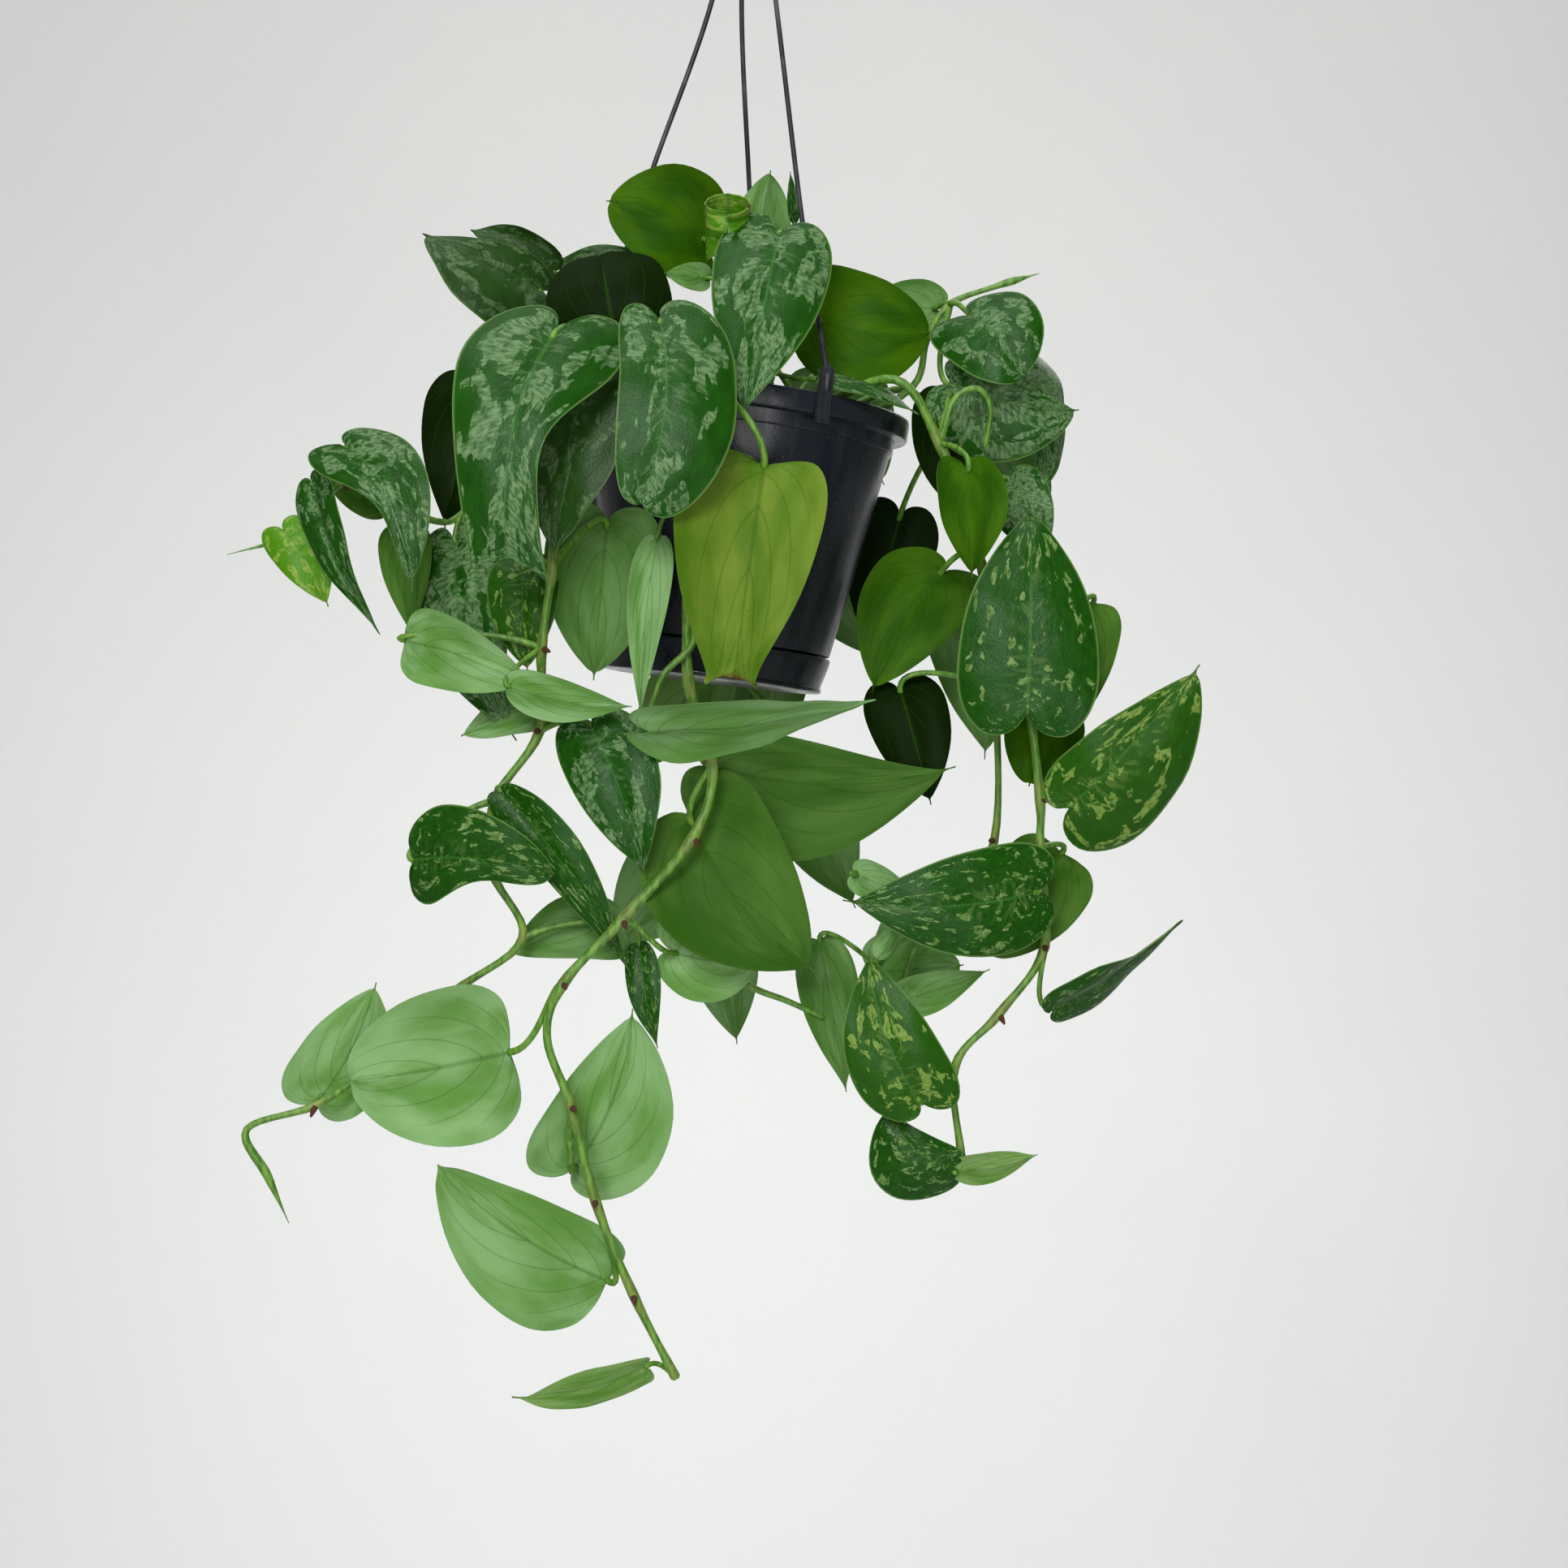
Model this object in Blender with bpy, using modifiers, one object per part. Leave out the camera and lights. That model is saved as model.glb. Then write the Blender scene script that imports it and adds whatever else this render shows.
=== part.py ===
"""Satin pothos trailing from a hanging nursery pot.

Metres, +Z up, +X to the right, +Y to the back. The origin is the point inside the hook that
bears on a ceiling fitting. Vines and leaves are in millimetres in the same frame.
"""
import math
from typing import NamedTuple

import bmesh
import bpy
from mathutils import Matrix, Quaternion, Vector

MM = 0.001
GAP = 0.3            # clear space between neighbouring pieces, mm
BLADE = 1.2          # leaf blade thickness, mm
STALK_R = 1.15       # leaf stalk radius, mm
DROOP = 0.16         # how far a blade's margins bow back, as a share of its width
ROUND = 32           # segments round the pot

# Pot: the axis leans because the plant's weight is off centre.
RIM_TOP = (0.5, 0.0, -296.0)
LEAN_DEG = 7.0
RIM_R = 75.0
RIM_TALL = 9.5
STEP_R = 69.0
STEP_DEPTH = 16.0
WALL_TOP_R = 67.6
WALL_LOW_R = 52.0
WALL_LOW = 109.5
FOOT_R = 46.5
FOOT_DEPTH = 117.0
WALL = 1.6
SAUCER_TOP_R = 52.4
SAUCER_LOW_R = 49.0
SAUCER_TOP = 110.5
SAUCER_LOW = 126.0
SOIL_TOP = 9.0

# Hanger.
HOOK_ROD = 2.2
HOOK_INNER = 9.5
HUB_Z = -44.5
HUB_X = 1.8
STRAND_R = 1.4
CLIP = (1.7, 6.6, 23.0)  # thickness, width and height of the clip plate
CLIP_MID = -0.5        # height of its middle over the rim

# Half a blade: how far along the midrib a rib starts, the angle it leaves at (0 = towards the
# tip), and its reach as a share of the half width.
RIBS = (
    (0.00, 150.0, 0.44),
    (0.03, 118.0, 0.84),
    (0.13, 86.0, 1.00),
    (0.32, 63.0, 0.97),
    (0.58, 45.0, 0.74),
    (0.82, 30.0, 0.38),
)

class Leaf(NamedTuple):
    """One blade, set from a joint of its vine.

    reach is the stalk's run right, back and up from the joint to the blade's foot, mm. heading is
    the way the blade points seen from the front, in degrees: 0 down, 90 left, 180 up, 270 right.
    tilt leans the tip to the front in degrees. turn 0 shows the upper face to the front and 180
    the underside. fold lifts each half in degrees, arch bows the midrib to the upper face and sway
    bows it sideways, mm. twist turns the tip in degrees, and lean is the share by which one half
    is wider than the other.
    """

    name: str
    joint: int
    reach: tuple
    heading: float
    tilt: float
    length: float
    width: float
    turn: float = 0.0
    fold: float = 10.0
    arch: float = 5.0
    sway: float = 0.0
    twist: float = 0.0
    lean: float = 0.0
    stalked: bool = True


# Each vine: its radius at the root and at the tip, the points it passes, and its leaves, mm.
VINES = {
    "stem_crown": (
        3.0, 2.0, ((-2, -8, -301), (-4, -12, -286), (-5, -14, -268)),
        (
            Leaf("crown_left", 1, (-14, 2, 62), 110, 10, 46, 50, 180, 10, -4, 3),
            Leaf("crown_rolled", 1, (-2, -18, 50), 180, 35, 30, 36, 0, 35, 0),
            Leaf("crown_back_mid", 1, (10, 20, 62), 190, -5, 36, 34, 180, 35, 3),
            Leaf("crown_front", 1, (20, -46, 55), 10, 20, 92, 52, 0, 12, 8, 0, 6),
            Leaf("crown_right", 1, (38, -18, 22), 275, -5, 50, 54, 180, 12, -6, 4),
        ),
    ),
    "stem_front": (
        2.3, 1.8,
        ((-5, -35, -300), (-5, -65, -285), (-12, -88, -300), (-18, -90, -340), (-22, -84, -390),
         (-22, -78, -425), (-12, -76, -460), (-20, -80, -490), (-50, -80, -525), (-75, -80, -552),
         (-82, -78, -575), (-72, -74, -605), (-62, -71, -645), (-46, -70, -685), (-28, -71, -720)),
        (
            Leaf("front_yellow", 2, (22, -6, -35), 8, 5, 90, 64, 180, 8, -6, 0, 0, 0.1),
            Leaf("shoulder_mid", 1, (-28, -40, 8), 5, 12, 78, 54, 0, 12, 9, 6, -8, 0.2),
            Leaf("under_wavy", 5, (-15, -25, -20), 262, -10, 96, 46, 240, 16, -7, -4, stalked=False),
            Leaf("under_right", 5, (10, 25, -35), 270, -15, 110, 56, 190, 10, -5, 7, 0, 0.25),
            Leaf("under_olive", 6, (-8, 10, -26), 320, 5, 80, 66, 180, 8, -6, 6),
            Leaf("low_round", 9, (-24, 12, -30), 80, 5, 68, 70, 176, 8, -7),
            Leaf("low_behind_stem", 11, (0, 25, -28), 200, 0, 72, 56, 184, 10, -6, 5, 0, 0.1),
            Leaf("low_leaf", 12, (4, 14, -36), 125, 5, 88, 54, 180, 8, -6, -4, 0, -0.2),
            Leaf("low_edge", 14, (-13, 8, 2), 80, 10, 58, 30, 246, 18, 3, -2),
        ),
    ),
    "stem_left": (
        2.2, 1.3,
        ((-32, -28, -298), (-58, -58, -282), (-75, -72, -328), (-80, -74, -375), (-85, -70, -410),
         (-87, -58, -445), (-106, -60, -475), (-107, -60, -505), (-94, -60, -534),
         (-125, -58, -558), (-160, -58, -590), (-182, -66, -605), (-211, -68, -615),
         (-202, -68, -635), (-193, -68, -655)),
        (
            Leaf("crown_olive", 1, (2, 22, 12), 170, -20, 40, 56, 180, 8, -6),
            Leaf("shoulder_left", 1, (-20, -42, 0), 10, 10, 98, 66, 0, 10, 14, -7, 6),
            Leaf("shoulder_behind", 1, (-6, -24, -14), 10, 5, 80, 50, 24, 10, 6),
            Leaf("left_shade_big", 3, (22, 18, 18), 5, 0, 66, 52, 180, 10, -3),
            Leaf("under_left_var", 5, (24, -13, 0), 340, 5, 66, 42, 10, 14, 7, 4),
            Leaf("spotted_left", 6, (-33, -16, -25), 275, 10, 62, 47, 10, 14, 8, 5),
            Leaf("low_mid_pale", 8, (38, 10, 4), 75, -5, 48, 32, 200, 14, -4, 4),
            Leaf("low_far_left", 11, (0, 18, 2), 205, -5, 54, 42, 172, 10, -4, 4),
        ),
    ),
    "stem_farleft": (
        2.0, 1.1,
        ((-40, 2, -298), (-76, -10, -275), (-102, -18, -306), (-124, -26, -348), (-142, -34, -350),
         (-160, -40, -340), (-173, -42, -336), (-184, -38, -346), (-195, -34, -358),
         (-226, -34, -367)),
        (
            Leaf("left_top_long", 1, (-14, -14, 26), 115, 10, 56, 44, 30, 25, 6, 3, 0, 0.4),
            Leaf("left_grey_big", 3, (-2, -12, -14), 342, 8, 92, 50, 20, 14, 8, -4),
            Leaf("farleft_silver", 5, (-8, -27, 16), 335, 10, 70, 42, 0, 14, 10, 9),
            Leaf("farleft_folded", 7, (-2, -12, 8), 335, 5, 72, 26, 34, 25, 5),
            Leaf("farleft_young", 8, (-5, -4, 1), 330, 0, 38, 26, 0, 14, 3, 2),
        ),
    ),
    "stem_right_front": (
        2.2, 1.6,
        ((26, -30, -305), (66, -48, -292), (86, -46, -320), (98, -48, -355), (110, -52, -388),
         (123, -52, -428), (129, -52, -474), (129, -52, -496), (131, -52, -538),
         (111, -54, -567), (92, -54, -590), (95, -54, -630)),
        (
            Leaf("right_bright", 2, (11, -16, -13), 358, 2, 46, 34, 160, 14, -4),
            Leaf("right_spotted", 5, (-1, -20, -6), 182, -15, 90, 62, 0, 10, 8),
            Leaf("right_far", 6, (13, -10, -2), 222, 5, 80, 52, 10, 8, 7, 0, 0, -0.3),
            Leaf("right_dark_flat", 7, (-4, -18, -18), 88, 5, 82, 48, 0, 10, 8, 4),
            Leaf("right_behind", 7, (11, 18, -2), 35, 5, 55, 44, 180, 8, -5),
            Leaf("right_twisted", 8, (3, -2, -27), 235, 5, 68, 32, 56, 20, 4, 4, 34),
            Leaf("low_right_spotted", 10, (-17, -20, -11), 162, -5, 66, 43, 0, 14, 7, 5),
            Leaf("low_right_small", 11, (-7, -8, -1), 135, -5, 34, 34, 0, 12, 4, 5, 0, 0.4),
        ),
    ),
    "stem_right_back": (
        2.0, 1.3,
        ((30, 12, -305), (73, 20, -287), (90, 8, -312), (104, -20, -363), (112, -16, -425),
         (112, -14, -493), (92, -16, -522), (77, -18, -540), (70, -20, -560)),
        (
            Leaf("right_hanging", 2, (38, -4, 36), 355, 10, 64, 42, -45, 14, 6),
            Leaf("pot_side_dark", 2, (-18, 38, -32), 15, -5, 60, 42, 180, 8, -4),
            Leaf("pot_side_olive", 3, (-16, 10, -11), 30, 10, 62, 48, 180, 8, -5, 5),
            Leaf("right_pale_low", 6, (-31, 12, -30), 265, 5, 38, 36, 180, 10, -4),
        ),
    ),
    "stem_right_top": (
        1.9, 1.1,
        ((48, -10, -308), (76, -14, -290), (82, -14, -270), (92, -14, -254), (112, -14, -246),
         (132, -14, -240)),
        (
            Leaf("right_top_round", 3, (9, -26, -10), 325, 15, 36, 46, 0, 14, 5, 3),
            Leaf("right_silver", 3, (2, -12, -38), 280, -5, 56, 44, 0, 16, 6, -4, 0, -0.3),
        ),
    ),
    "stem_back": (
        2.0, 1.2,
        ((14, 30, -303), (24, 68, -285), (28, 86, -308), (24, 88, -360), (10, 88, -430),
         (-6, 85, -490), (-16, 86, -540)),
        (
            Leaf("back_high", 1, (14, 16, 13), 330, -15, 60, 52, 180, 10, 8),
            Leaf("back_left", 2, (-72, 12, 8), 30, -5, 76, 54, 180, 10, 8),
            Leaf("back_mid", 3, (-18, 14, -36), 8, -5, 74, 56, 180, 10, 9),
            Leaf("back_low", 5, (-18, 13, -8), 40, 0, 64, 50, 180, 10, 8),
        ),
    ),
}

TAPERED = ("stem_left", "stem_farleft", "stem_right_top")  # vines that end in a rolled new leaf

# name, points from the hub to the rim, and the bearing of the clip round the pot
STRANDS = (
    ("strand_left", ((-2.6, 0.0, -50), (-14, 0, -114), (-40, 0, -188), (-54, 0, -230)), 180.0),
    ("strand_back", ((1.6, 4.4, -50), (-1, 14, -114), (2, 36, -186), (5, 54, -240)), 87.0),
    ("strand_right", ((5.4, -4.0, -50), (14, -16, -114), (25, -40, -212), (30, -52, -248)), -62.0),
)

COLOURS = {
    "leaf_silver": ((0.12, 0.24, 0.10, 1.0), 0.50),
    "leaf_under": ((0.16, 0.32, 0.08, 1.0), 0.55),
    "stem_green": ((0.14, 0.30, 0.05, 1.0), 0.45),
    "pot_black": ((0.012, 0.013, 0.016, 1.0), 0.35),
    "hanger_grey": ((0.020, 0.021, 0.024, 1.0), 0.45),
    "soil_brown": ((0.045, 0.028, 0.016, 1.0), 0.95),
}

UNDERSIDE = {
    "crown_left", "crown_back_mid", "crown_olive", "crown_right", "front_yellow", "under_wavy",
    "under_right", "under_olive", "low_round", "low_behind_stem", "low_leaf", "low_edge",
    "left_shade_big", "low_mid_pale", "low_far_left", "right_bright", "right_behind",
    "pot_side_dark", "pot_side_olive", "right_pale_low",
}


def clear_scene():
    """Remove every object in the file."""
    for obj in list(bpy.data.objects):
        bpy.data.objects.remove(obj, do_unlink=True)


def make_material(name):
    """Return a Principled material with the colour and roughness of a slot."""
    colour, rough = COLOURS[name]
    mat = bpy.data.materials.new(name)
    mat.use_nodes = True
    shader = mat.node_tree.nodes["Principled BSDF"]
    shader.inputs["Base Color"].default_value = colour
    shader.inputs["Roughness"].default_value = rough
    mat.diffuse_color = colour
    return mat


def mm(point):
    """Turn a point in millimetres into a Vector in metres."""
    return Vector(point) * MM


def link(obj, collection, mat):
    """Put an object in a collection and give it a material."""
    collection.objects.link(obj)
    obj.data.materials.append(mat)
    return obj


def smooth_path(points, steps):
    """Return points on a Catmull-Rom curve through the given points."""
    pts = [Vector(p) for p in points]
    pts = [2 * pts[0] - pts[1]] + pts + [2 * pts[-1] - pts[-2]]
    out = []
    for i in range(1, len(pts) - 2):
        a, b, c, d = pts[i - 1:i + 3]
        for k in range(steps):
            t = k / steps
            out.append(
                0.5 * (2 * b + (c - a) * t + (2 * a - 5 * b + 4 * c - d) * t ** 2
                       + (3 * b - a - 3 * c + d) * t ** 3))
    out.append(pts[-2])
    return out


def tube(name, points, radii, sides_level=1):
    """Make a closed round tube mesh object along points in metres."""
    curve = bpy.data.curves.new(name + "_path", "CURVE")
    curve.dimensions = "3D"
    curve.bevel_depth = 1.0
    curve.bevel_resolution = sides_level
    curve.use_fill_caps = True
    spline = curve.splines.new("POLY")
    spline.points.add(len(points) - 1)
    for item, point, radius in zip(spline.points, points, radii):
        item.co = (point.x, point.y, point.z, 1.0)
        item.radius = radius
    holder = bpy.data.objects.new(name + "_curve", curve)
    bpy.context.scene.collection.objects.link(holder)
    bpy.context.view_layer.update()
    graph = bpy.context.evaluated_depsgraph_get()
    mesh = bpy.data.meshes.new_from_object(holder.evaluated_get(graph))
    bpy.data.objects.remove(holder, do_unlink=True)
    work = bmesh.new()
    work.from_mesh(mesh)
    bmesh.ops.remove_doubles(work, verts=work.verts, dist=0.00001)
    bmesh.ops.recalc_face_normals(work, faces=work.faces)
    work.to_mesh(mesh)
    work.free()
    mesh.name = name
    return bpy.data.objects.new(name, mesh)


def apply_all(obj):
    """Bake an object's modifiers into its mesh."""
    bpy.context.view_layer.update()
    graph = bpy.context.evaluated_depsgraph_get()
    baked = bpy.data.meshes.new_from_object(obj.evaluated_get(graph))
    obj.modifiers.clear()
    old = obj.data
    obj.data = baked
    baked.name = obj.name
    bpy.data.meshes.remove(old)


def combine(obj, cutter, operation, cutters):
    """Join or cut an object with another, and put the other away."""
    cutters.objects.link(cutter)
    cutter.hide_render = True
    cutter.display_type = "WIRE"
    mod = obj.modifiers.new("with_" + cutter.name, "BOOLEAN")
    mod.operation = operation
    mod.solver = "EXACT"
    mod.object = cutter
    apply_all(obj)


def turned(name, profile, mat, collection, lean=True):
    """Spin a profile of (radius, depth) round the pot's axis into a solid."""
    mesh = bpy.data.meshes.new(name)
    verts = [(r * MM, 0.0, -z * MM) for r, z in profile]
    mesh.from_pydata(verts, [(i, i + 1) for i in range(len(verts) - 1)], [])
    obj = link(bpy.data.objects.new(name, mesh), collection, mat)
    screw = obj.modifiers.new("spin", "SCREW")
    screw.steps = ROUND
    screw.render_steps = ROUND
    screw.use_merge_vertices = True
    screw.merge_threshold = 0.00005
    screw.use_normal_calculate = True
    if lean:
        obj.matrix_world = pot_place()
    return obj


def pot_place():
    """Return the matrix that leans the pot's axis and puts its rim in place."""
    return Matrix.Translation(mm(RIM_TOP)) @ Matrix.Rotation(math.radians(LEAN_DEG), 4, "Y")


def build_pot(mats, collection):
    """Build the pot, the saucer under it and the soil inside it."""
    inner = WALL
    pot = (
        (0, FOOT_DEPTH - 4.0), (FOOT_R - 3.0, FOOT_DEPTH - 4.0),
        (WALL_LOW_R - inner, WALL_LOW - 3.0), (WALL_TOP_R - inner, STEP_DEPTH),
        (STEP_R - inner, 8.0), (RIM_R - 3.6, 1.6), (RIM_R - 1.6, 0.0), (RIM_R - 0.4, 0.4),
        (RIM_R, 1.6), (RIM_R - 0.3, RIM_TALL), (STEP_R + 0.3, RIM_TALL),
        (STEP_R, STEP_DEPTH), (WALL_TOP_R, STEP_DEPTH), (WALL_LOW_R, WALL_LOW),
        (FOOT_R, WALL_LOW), (FOOT_R - 0.6, FOOT_DEPTH), (0, FOOT_DEPTH),
    )
    turned("pot", pot, mats["pot_black"], collection)
    saucer = (
        (0, SAUCER_LOW - 2.6), (SAUCER_LOW_R - 3.4, SAUCER_LOW - 2.6),
        (SAUCER_TOP_R - 1.8, SAUCER_TOP), (SAUCER_TOP_R - 0.3, SAUCER_TOP),
        (SAUCER_TOP_R, SAUCER_TOP + 0.8), (SAUCER_LOW_R + 0.4, SAUCER_LOW - 2.0),
        (SAUCER_LOW_R + 0.9, SAUCER_LOW - 1.6), (SAUCER_LOW_R + 0.6, SAUCER_LOW),
        (0, SAUCER_LOW),
    )
    turned("saucer", saucer, mats["pot_black"], collection)
    low = WALL_LOW - 3.0
    soil = (
        (0, SOIL_TOP - 2.0), (22, SOIL_TOP - 1.2), (44, SOIL_TOP + 0.4), (62, SOIL_TOP + 2.0),
        (WALL_TOP_R - inner - GAP - 0.6, SOIL_TOP + 2.4),
        (WALL_TOP_R - inner - GAP - 0.3, STEP_DEPTH), (WALL_LOW_R - inner - GAP - 0.2, low - 0.2),
        (FOOT_R - 4.0, FOOT_DEPTH - 4.0 - GAP - 0.2), (0, FOOT_DEPTH - 4.0 - GAP - 0.2),
    )
    turned("soil", soil, mats["soil_brown"], collection)


def build_hook(mats, collection):
    """Build the hook and the hub that the strands hang from."""
    centre = Vector((0.0, 0.0, -HOOK_INNER))
    ring = HOOK_INNER + HOOK_ROD
    points = []
    for deg in range(-40, 200, 20):
        a = math.radians(deg)
        points.append(centre + Vector((ring * math.cos(a), 0.0, ring * math.sin(a))))
    radii = [HOOK_ROD] * len(points)
    radii[0] = HOOK_ROD * 0.75
    for point, radius in (
        ((-8.2, 0, -19.0), HOOK_ROD), ((-3.2, 0, -25.0), HOOK_ROD), ((0.6, 0, -30.5), HOOK_ROD),
        ((HUB_X, 0, -36.0), HOOK_ROD), ((HUB_X, 0, -39.5), 2.6), ((HUB_X, 0, -41.0), 6.4),
        ((HUB_X, 0, -43.0), 7.6), ((HUB_X, 0, -48.4), 7.6), ((HUB_X, 0, -49.6), 6.6),
    ):
        points.append(Vector(point))
        radii.append(radius)
    hook = tube("hook", [p * MM for p in points], [r * MM for r in radii], 2)
    link(hook, collection, mats["hanger_grey"])


def build_strands(mats, collection, cutters):
    """Build the three strands, each ending in a flat clip on the pot's rim."""
    place = pot_place()
    for name, points, bearing in STRANDS:
        a = math.radians(bearing)
        out = Vector((math.cos(a), math.sin(a), 0.0))
        clip_top = place @ ((out * (RIM_R + 1.5) + Vector((0, 0, 7.0))) * MM)
        clip_mid = place @ ((out * (RIM_R + 1.5) + Vector((0, 0, 1.0))) * MM)
        path = smooth_path([mm(p) for p in points] + [clip_top], 2)
        path[0] = mm(points[0])
        path.append(clip_mid)
        strand = tube(name, path, [STRAND_R * MM] * len(path), 1)
        link(strand, collection, mats["hanger_grey"])
        plate = box_mesh(name + "_plate", CLIP)
        spin = Matrix.Rotation(a, 4, "Z")
        shift = Matrix.Translation(Vector((RIM_R + GAP + CLIP[0] / 2, 0, CLIP_MID)) * MM)
        plate.data.transform(place @ spin @ shift)
        combine(strand, plate, "UNION", cutters)


def box_mesh(name, size):
    """Return a box of the given size in millimetres, centred on its origin."""
    mesh = bpy.data.meshes.new(name)
    work = bmesh.new()
    bmesh.ops.create_cube(work, size=1.0)
    bmesh.ops.scale(work, vec=Vector(size) * MM, verts=work.verts)
    work.to_mesh(mesh)
    work.free()
    return bpy.data.objects.new(name, mesh)


def blade_axes(leaf):
    """Return a blade's unit axes: along the midrib, across it, and out of its upper face."""
    heading = math.radians(leaf.heading)
    tilt = math.radians(leaf.tilt)
    flat = math.cos(tilt)
    along = Vector((-math.sin(heading) * flat, -math.sin(tilt), -math.cos(heading) * flat))
    face = Vector((0.0, -1.0, 0.0))
    face = (face - along * face.dot(along)).normalized()
    face = Quaternion(along, math.radians(leaf.turn)) @ face
    return along, face.cross(along).normalized(), face


def blade_point(leaf, foot, s, t):
    """Return the place in mm of a point s along the midrib and t across a flat blade."""
    along, across, face = blade_axes(leaf)
    share = s / leaf.length
    bow = 4.0 * share * (1.0 - share)
    lift = math.radians(leaf.fold)
    side = t * math.cos(lift)
    rise = abs(t) * math.sin(lift) - DROOP * leaf.width * (2.0 * t / leaf.width) ** 2
    roll = math.radians(leaf.twist) * (share - 0.3)
    across_turned = across * math.cos(roll) + face * math.sin(roll)
    face_turned = face * math.cos(roll) - across * math.sin(roll)
    return foot + along * s + across * (leaf.sway * bow) + face * (leaf.arch * bow) \
        + across_turned * side + face_turned * rise


def build_leaf(leaf, joint, mats, collection):
    """Build one leaf blade as a shaped grid with an even thickness."""
    foot = joint + Vector(leaf.reach)
    verts = []
    faces = []
    for start, angle, reach in RIBS:
        a = math.radians(angle)
        for v in (-1.0, -0.5, 0.0, 0.5, 1.0):
            run = abs(v) * reach * leaf.width / 2 * (1 + math.copysign(leaf.lean, v * leaf.lean))
            s = start * leaf.length + run * math.cos(a)
            t = math.copysign(run * math.sin(a), v)
            verts.append(blade_point(leaf, foot, s, t) * MM)
    tip_index = len(verts)
    verts.append(blade_point(leaf, foot, leaf.length, 0.0) * MM)
    for i in range(len(RIBS) - 1):
        for j in range(4):
            k = i * 5 + j
            faces.append((k, k + 1, k + 6, k + 5))
    k = (len(RIBS) - 1) * 5
    for j in range(4):
        faces.append((k + j, k + j + 1, tip_index))
    mesh = bpy.data.meshes.new(leaf.name)
    mesh.from_pydata(verts, [], faces)
    slot = "leaf_under" if leaf.name in UNDERSIDE else "leaf_silver"
    obj = link(bpy.data.objects.new(leaf.name, mesh), collection, mats[slot])
    shell = obj.modifiers.new("blade", "SOLIDIFY")
    shell.thickness = BLADE * MM
    shell.offset = 0.0
    return obj


def petiole_path(leaf, joint):
    """Return the leaf stalk's path in mm from its joint to just under its blade."""
    along, _, face = blade_axes(leaf)
    end = joint + Vector(leaf.reach) - face * (BLADE / 2 + GAP + 1.5)
    lead = (face * 0.55 + along * 0.8).normalized()
    reach = (end - joint).length
    b = joint.lerp(end, 0.3) + Vector((0, 0, 0.16 * reach))
    c = end - lead * min(0.4 * reach, 16.0)
    out = []
    for k in range(5):
        t = k / 4
        out.append(joint * (1 - t) ** 3 + b * 3 * t * (1 - t) ** 2 + c * 3 * t * t * (1 - t)
                   + end * t ** 3)
    return out


def build_stem(name, mats, collection, cutters):
    """Build one vine with the stalks of the leaves that grow from it."""
    root_r, tip_r, points, leaves = VINES[name]
    path = smooth_path(points, 2)
    last = len(path) - 1
    radii = [(root_r + (tip_r - root_r) * i / last) * MM for i in range(last + 1)]
    if name in TAPERED:
        radii[-1] = 0.4 * MM
    stem = tube(name, [p * MM for p in path], radii, 1)
    link(stem, collection, mats["stem_green"])
    for leaf in leaves:
        if not leaf.stalked:
            continue
        stalk = petiole_path(leaf, Vector(points[leaf.joint]))
        limb = tube(leaf.name + "_stalk", [p * MM for p in stalk], [STALK_R * MM] * len(stalk), 1)
        combine(stem, limb, "UNION", cutters)


def build():
    """Build the whole plant."""
    clear_scene()
    scene = bpy.context.scene
    plant = bpy.data.collections.new("satin_pothos_hanging")
    cutters = bpy.data.collections.new("cutters")
    scene.collection.children.link(plant)
    scene.collection.children.link(cutters)
    cutters.hide_render = True
    mats = {name: make_material(name) for name in COLOURS}
    build_pot(mats, plant)
    build_hook(mats, plant)
    build_strands(mats, plant, cutters)
    for name, (_, _, points, leaves) in VINES.items():
        build_stem(name, mats, plant, cutters)
        for leaf in leaves:
            build_leaf(leaf, Vector(points[leaf.joint]), mats, plant)


build()
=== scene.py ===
"""Satin pothos trailing from a hanging nursery pot: fine surfaces, finishes, light and camera.

Lengths in the tables are millimetres in the frame's own axes: +Z up, +X right, +Y back.
"""
import logging
import math
import random
from dataclasses import dataclass, field, replace
from enum import Enum

import bmesh
import bpy
from mathutils import Matrix, Quaternion, Vector, noise


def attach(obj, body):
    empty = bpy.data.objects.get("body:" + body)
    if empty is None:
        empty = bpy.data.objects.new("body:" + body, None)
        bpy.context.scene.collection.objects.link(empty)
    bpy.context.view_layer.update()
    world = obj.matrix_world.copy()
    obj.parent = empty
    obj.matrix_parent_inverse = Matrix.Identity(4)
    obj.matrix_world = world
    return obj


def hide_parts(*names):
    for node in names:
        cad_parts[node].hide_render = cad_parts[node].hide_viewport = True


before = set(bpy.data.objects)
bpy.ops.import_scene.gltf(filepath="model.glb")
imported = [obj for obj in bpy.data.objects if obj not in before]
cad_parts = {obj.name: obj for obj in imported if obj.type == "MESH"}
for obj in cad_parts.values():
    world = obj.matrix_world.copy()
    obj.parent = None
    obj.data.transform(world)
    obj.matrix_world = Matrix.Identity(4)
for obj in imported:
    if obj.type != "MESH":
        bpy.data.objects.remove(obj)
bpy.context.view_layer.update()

log = logging.getLogger("satin_pothos")
MM = 0.001
DOME_RISE = 0.5
DOME_SHARE = 0.6
Point = tuple[float, float, float]


def tint(red: int, green: int, blue: int) -> tuple[float, float, float, float]:
    """Turn a display colour of 0 to 255 into the linear colour a shader takes.

    Args:
        red: Red part.
        green: Green part.
        blue: Blue part.

    Returns:
        Linear red, green, blue and an alpha of one.
    """
    linear = [((c / 255 + 0.055) / 1.055) ** 2.4 if c > 10 else c / 255 / 12.92
              for c in (red, green, blue)]
    return (*linear, 1.0)


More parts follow.
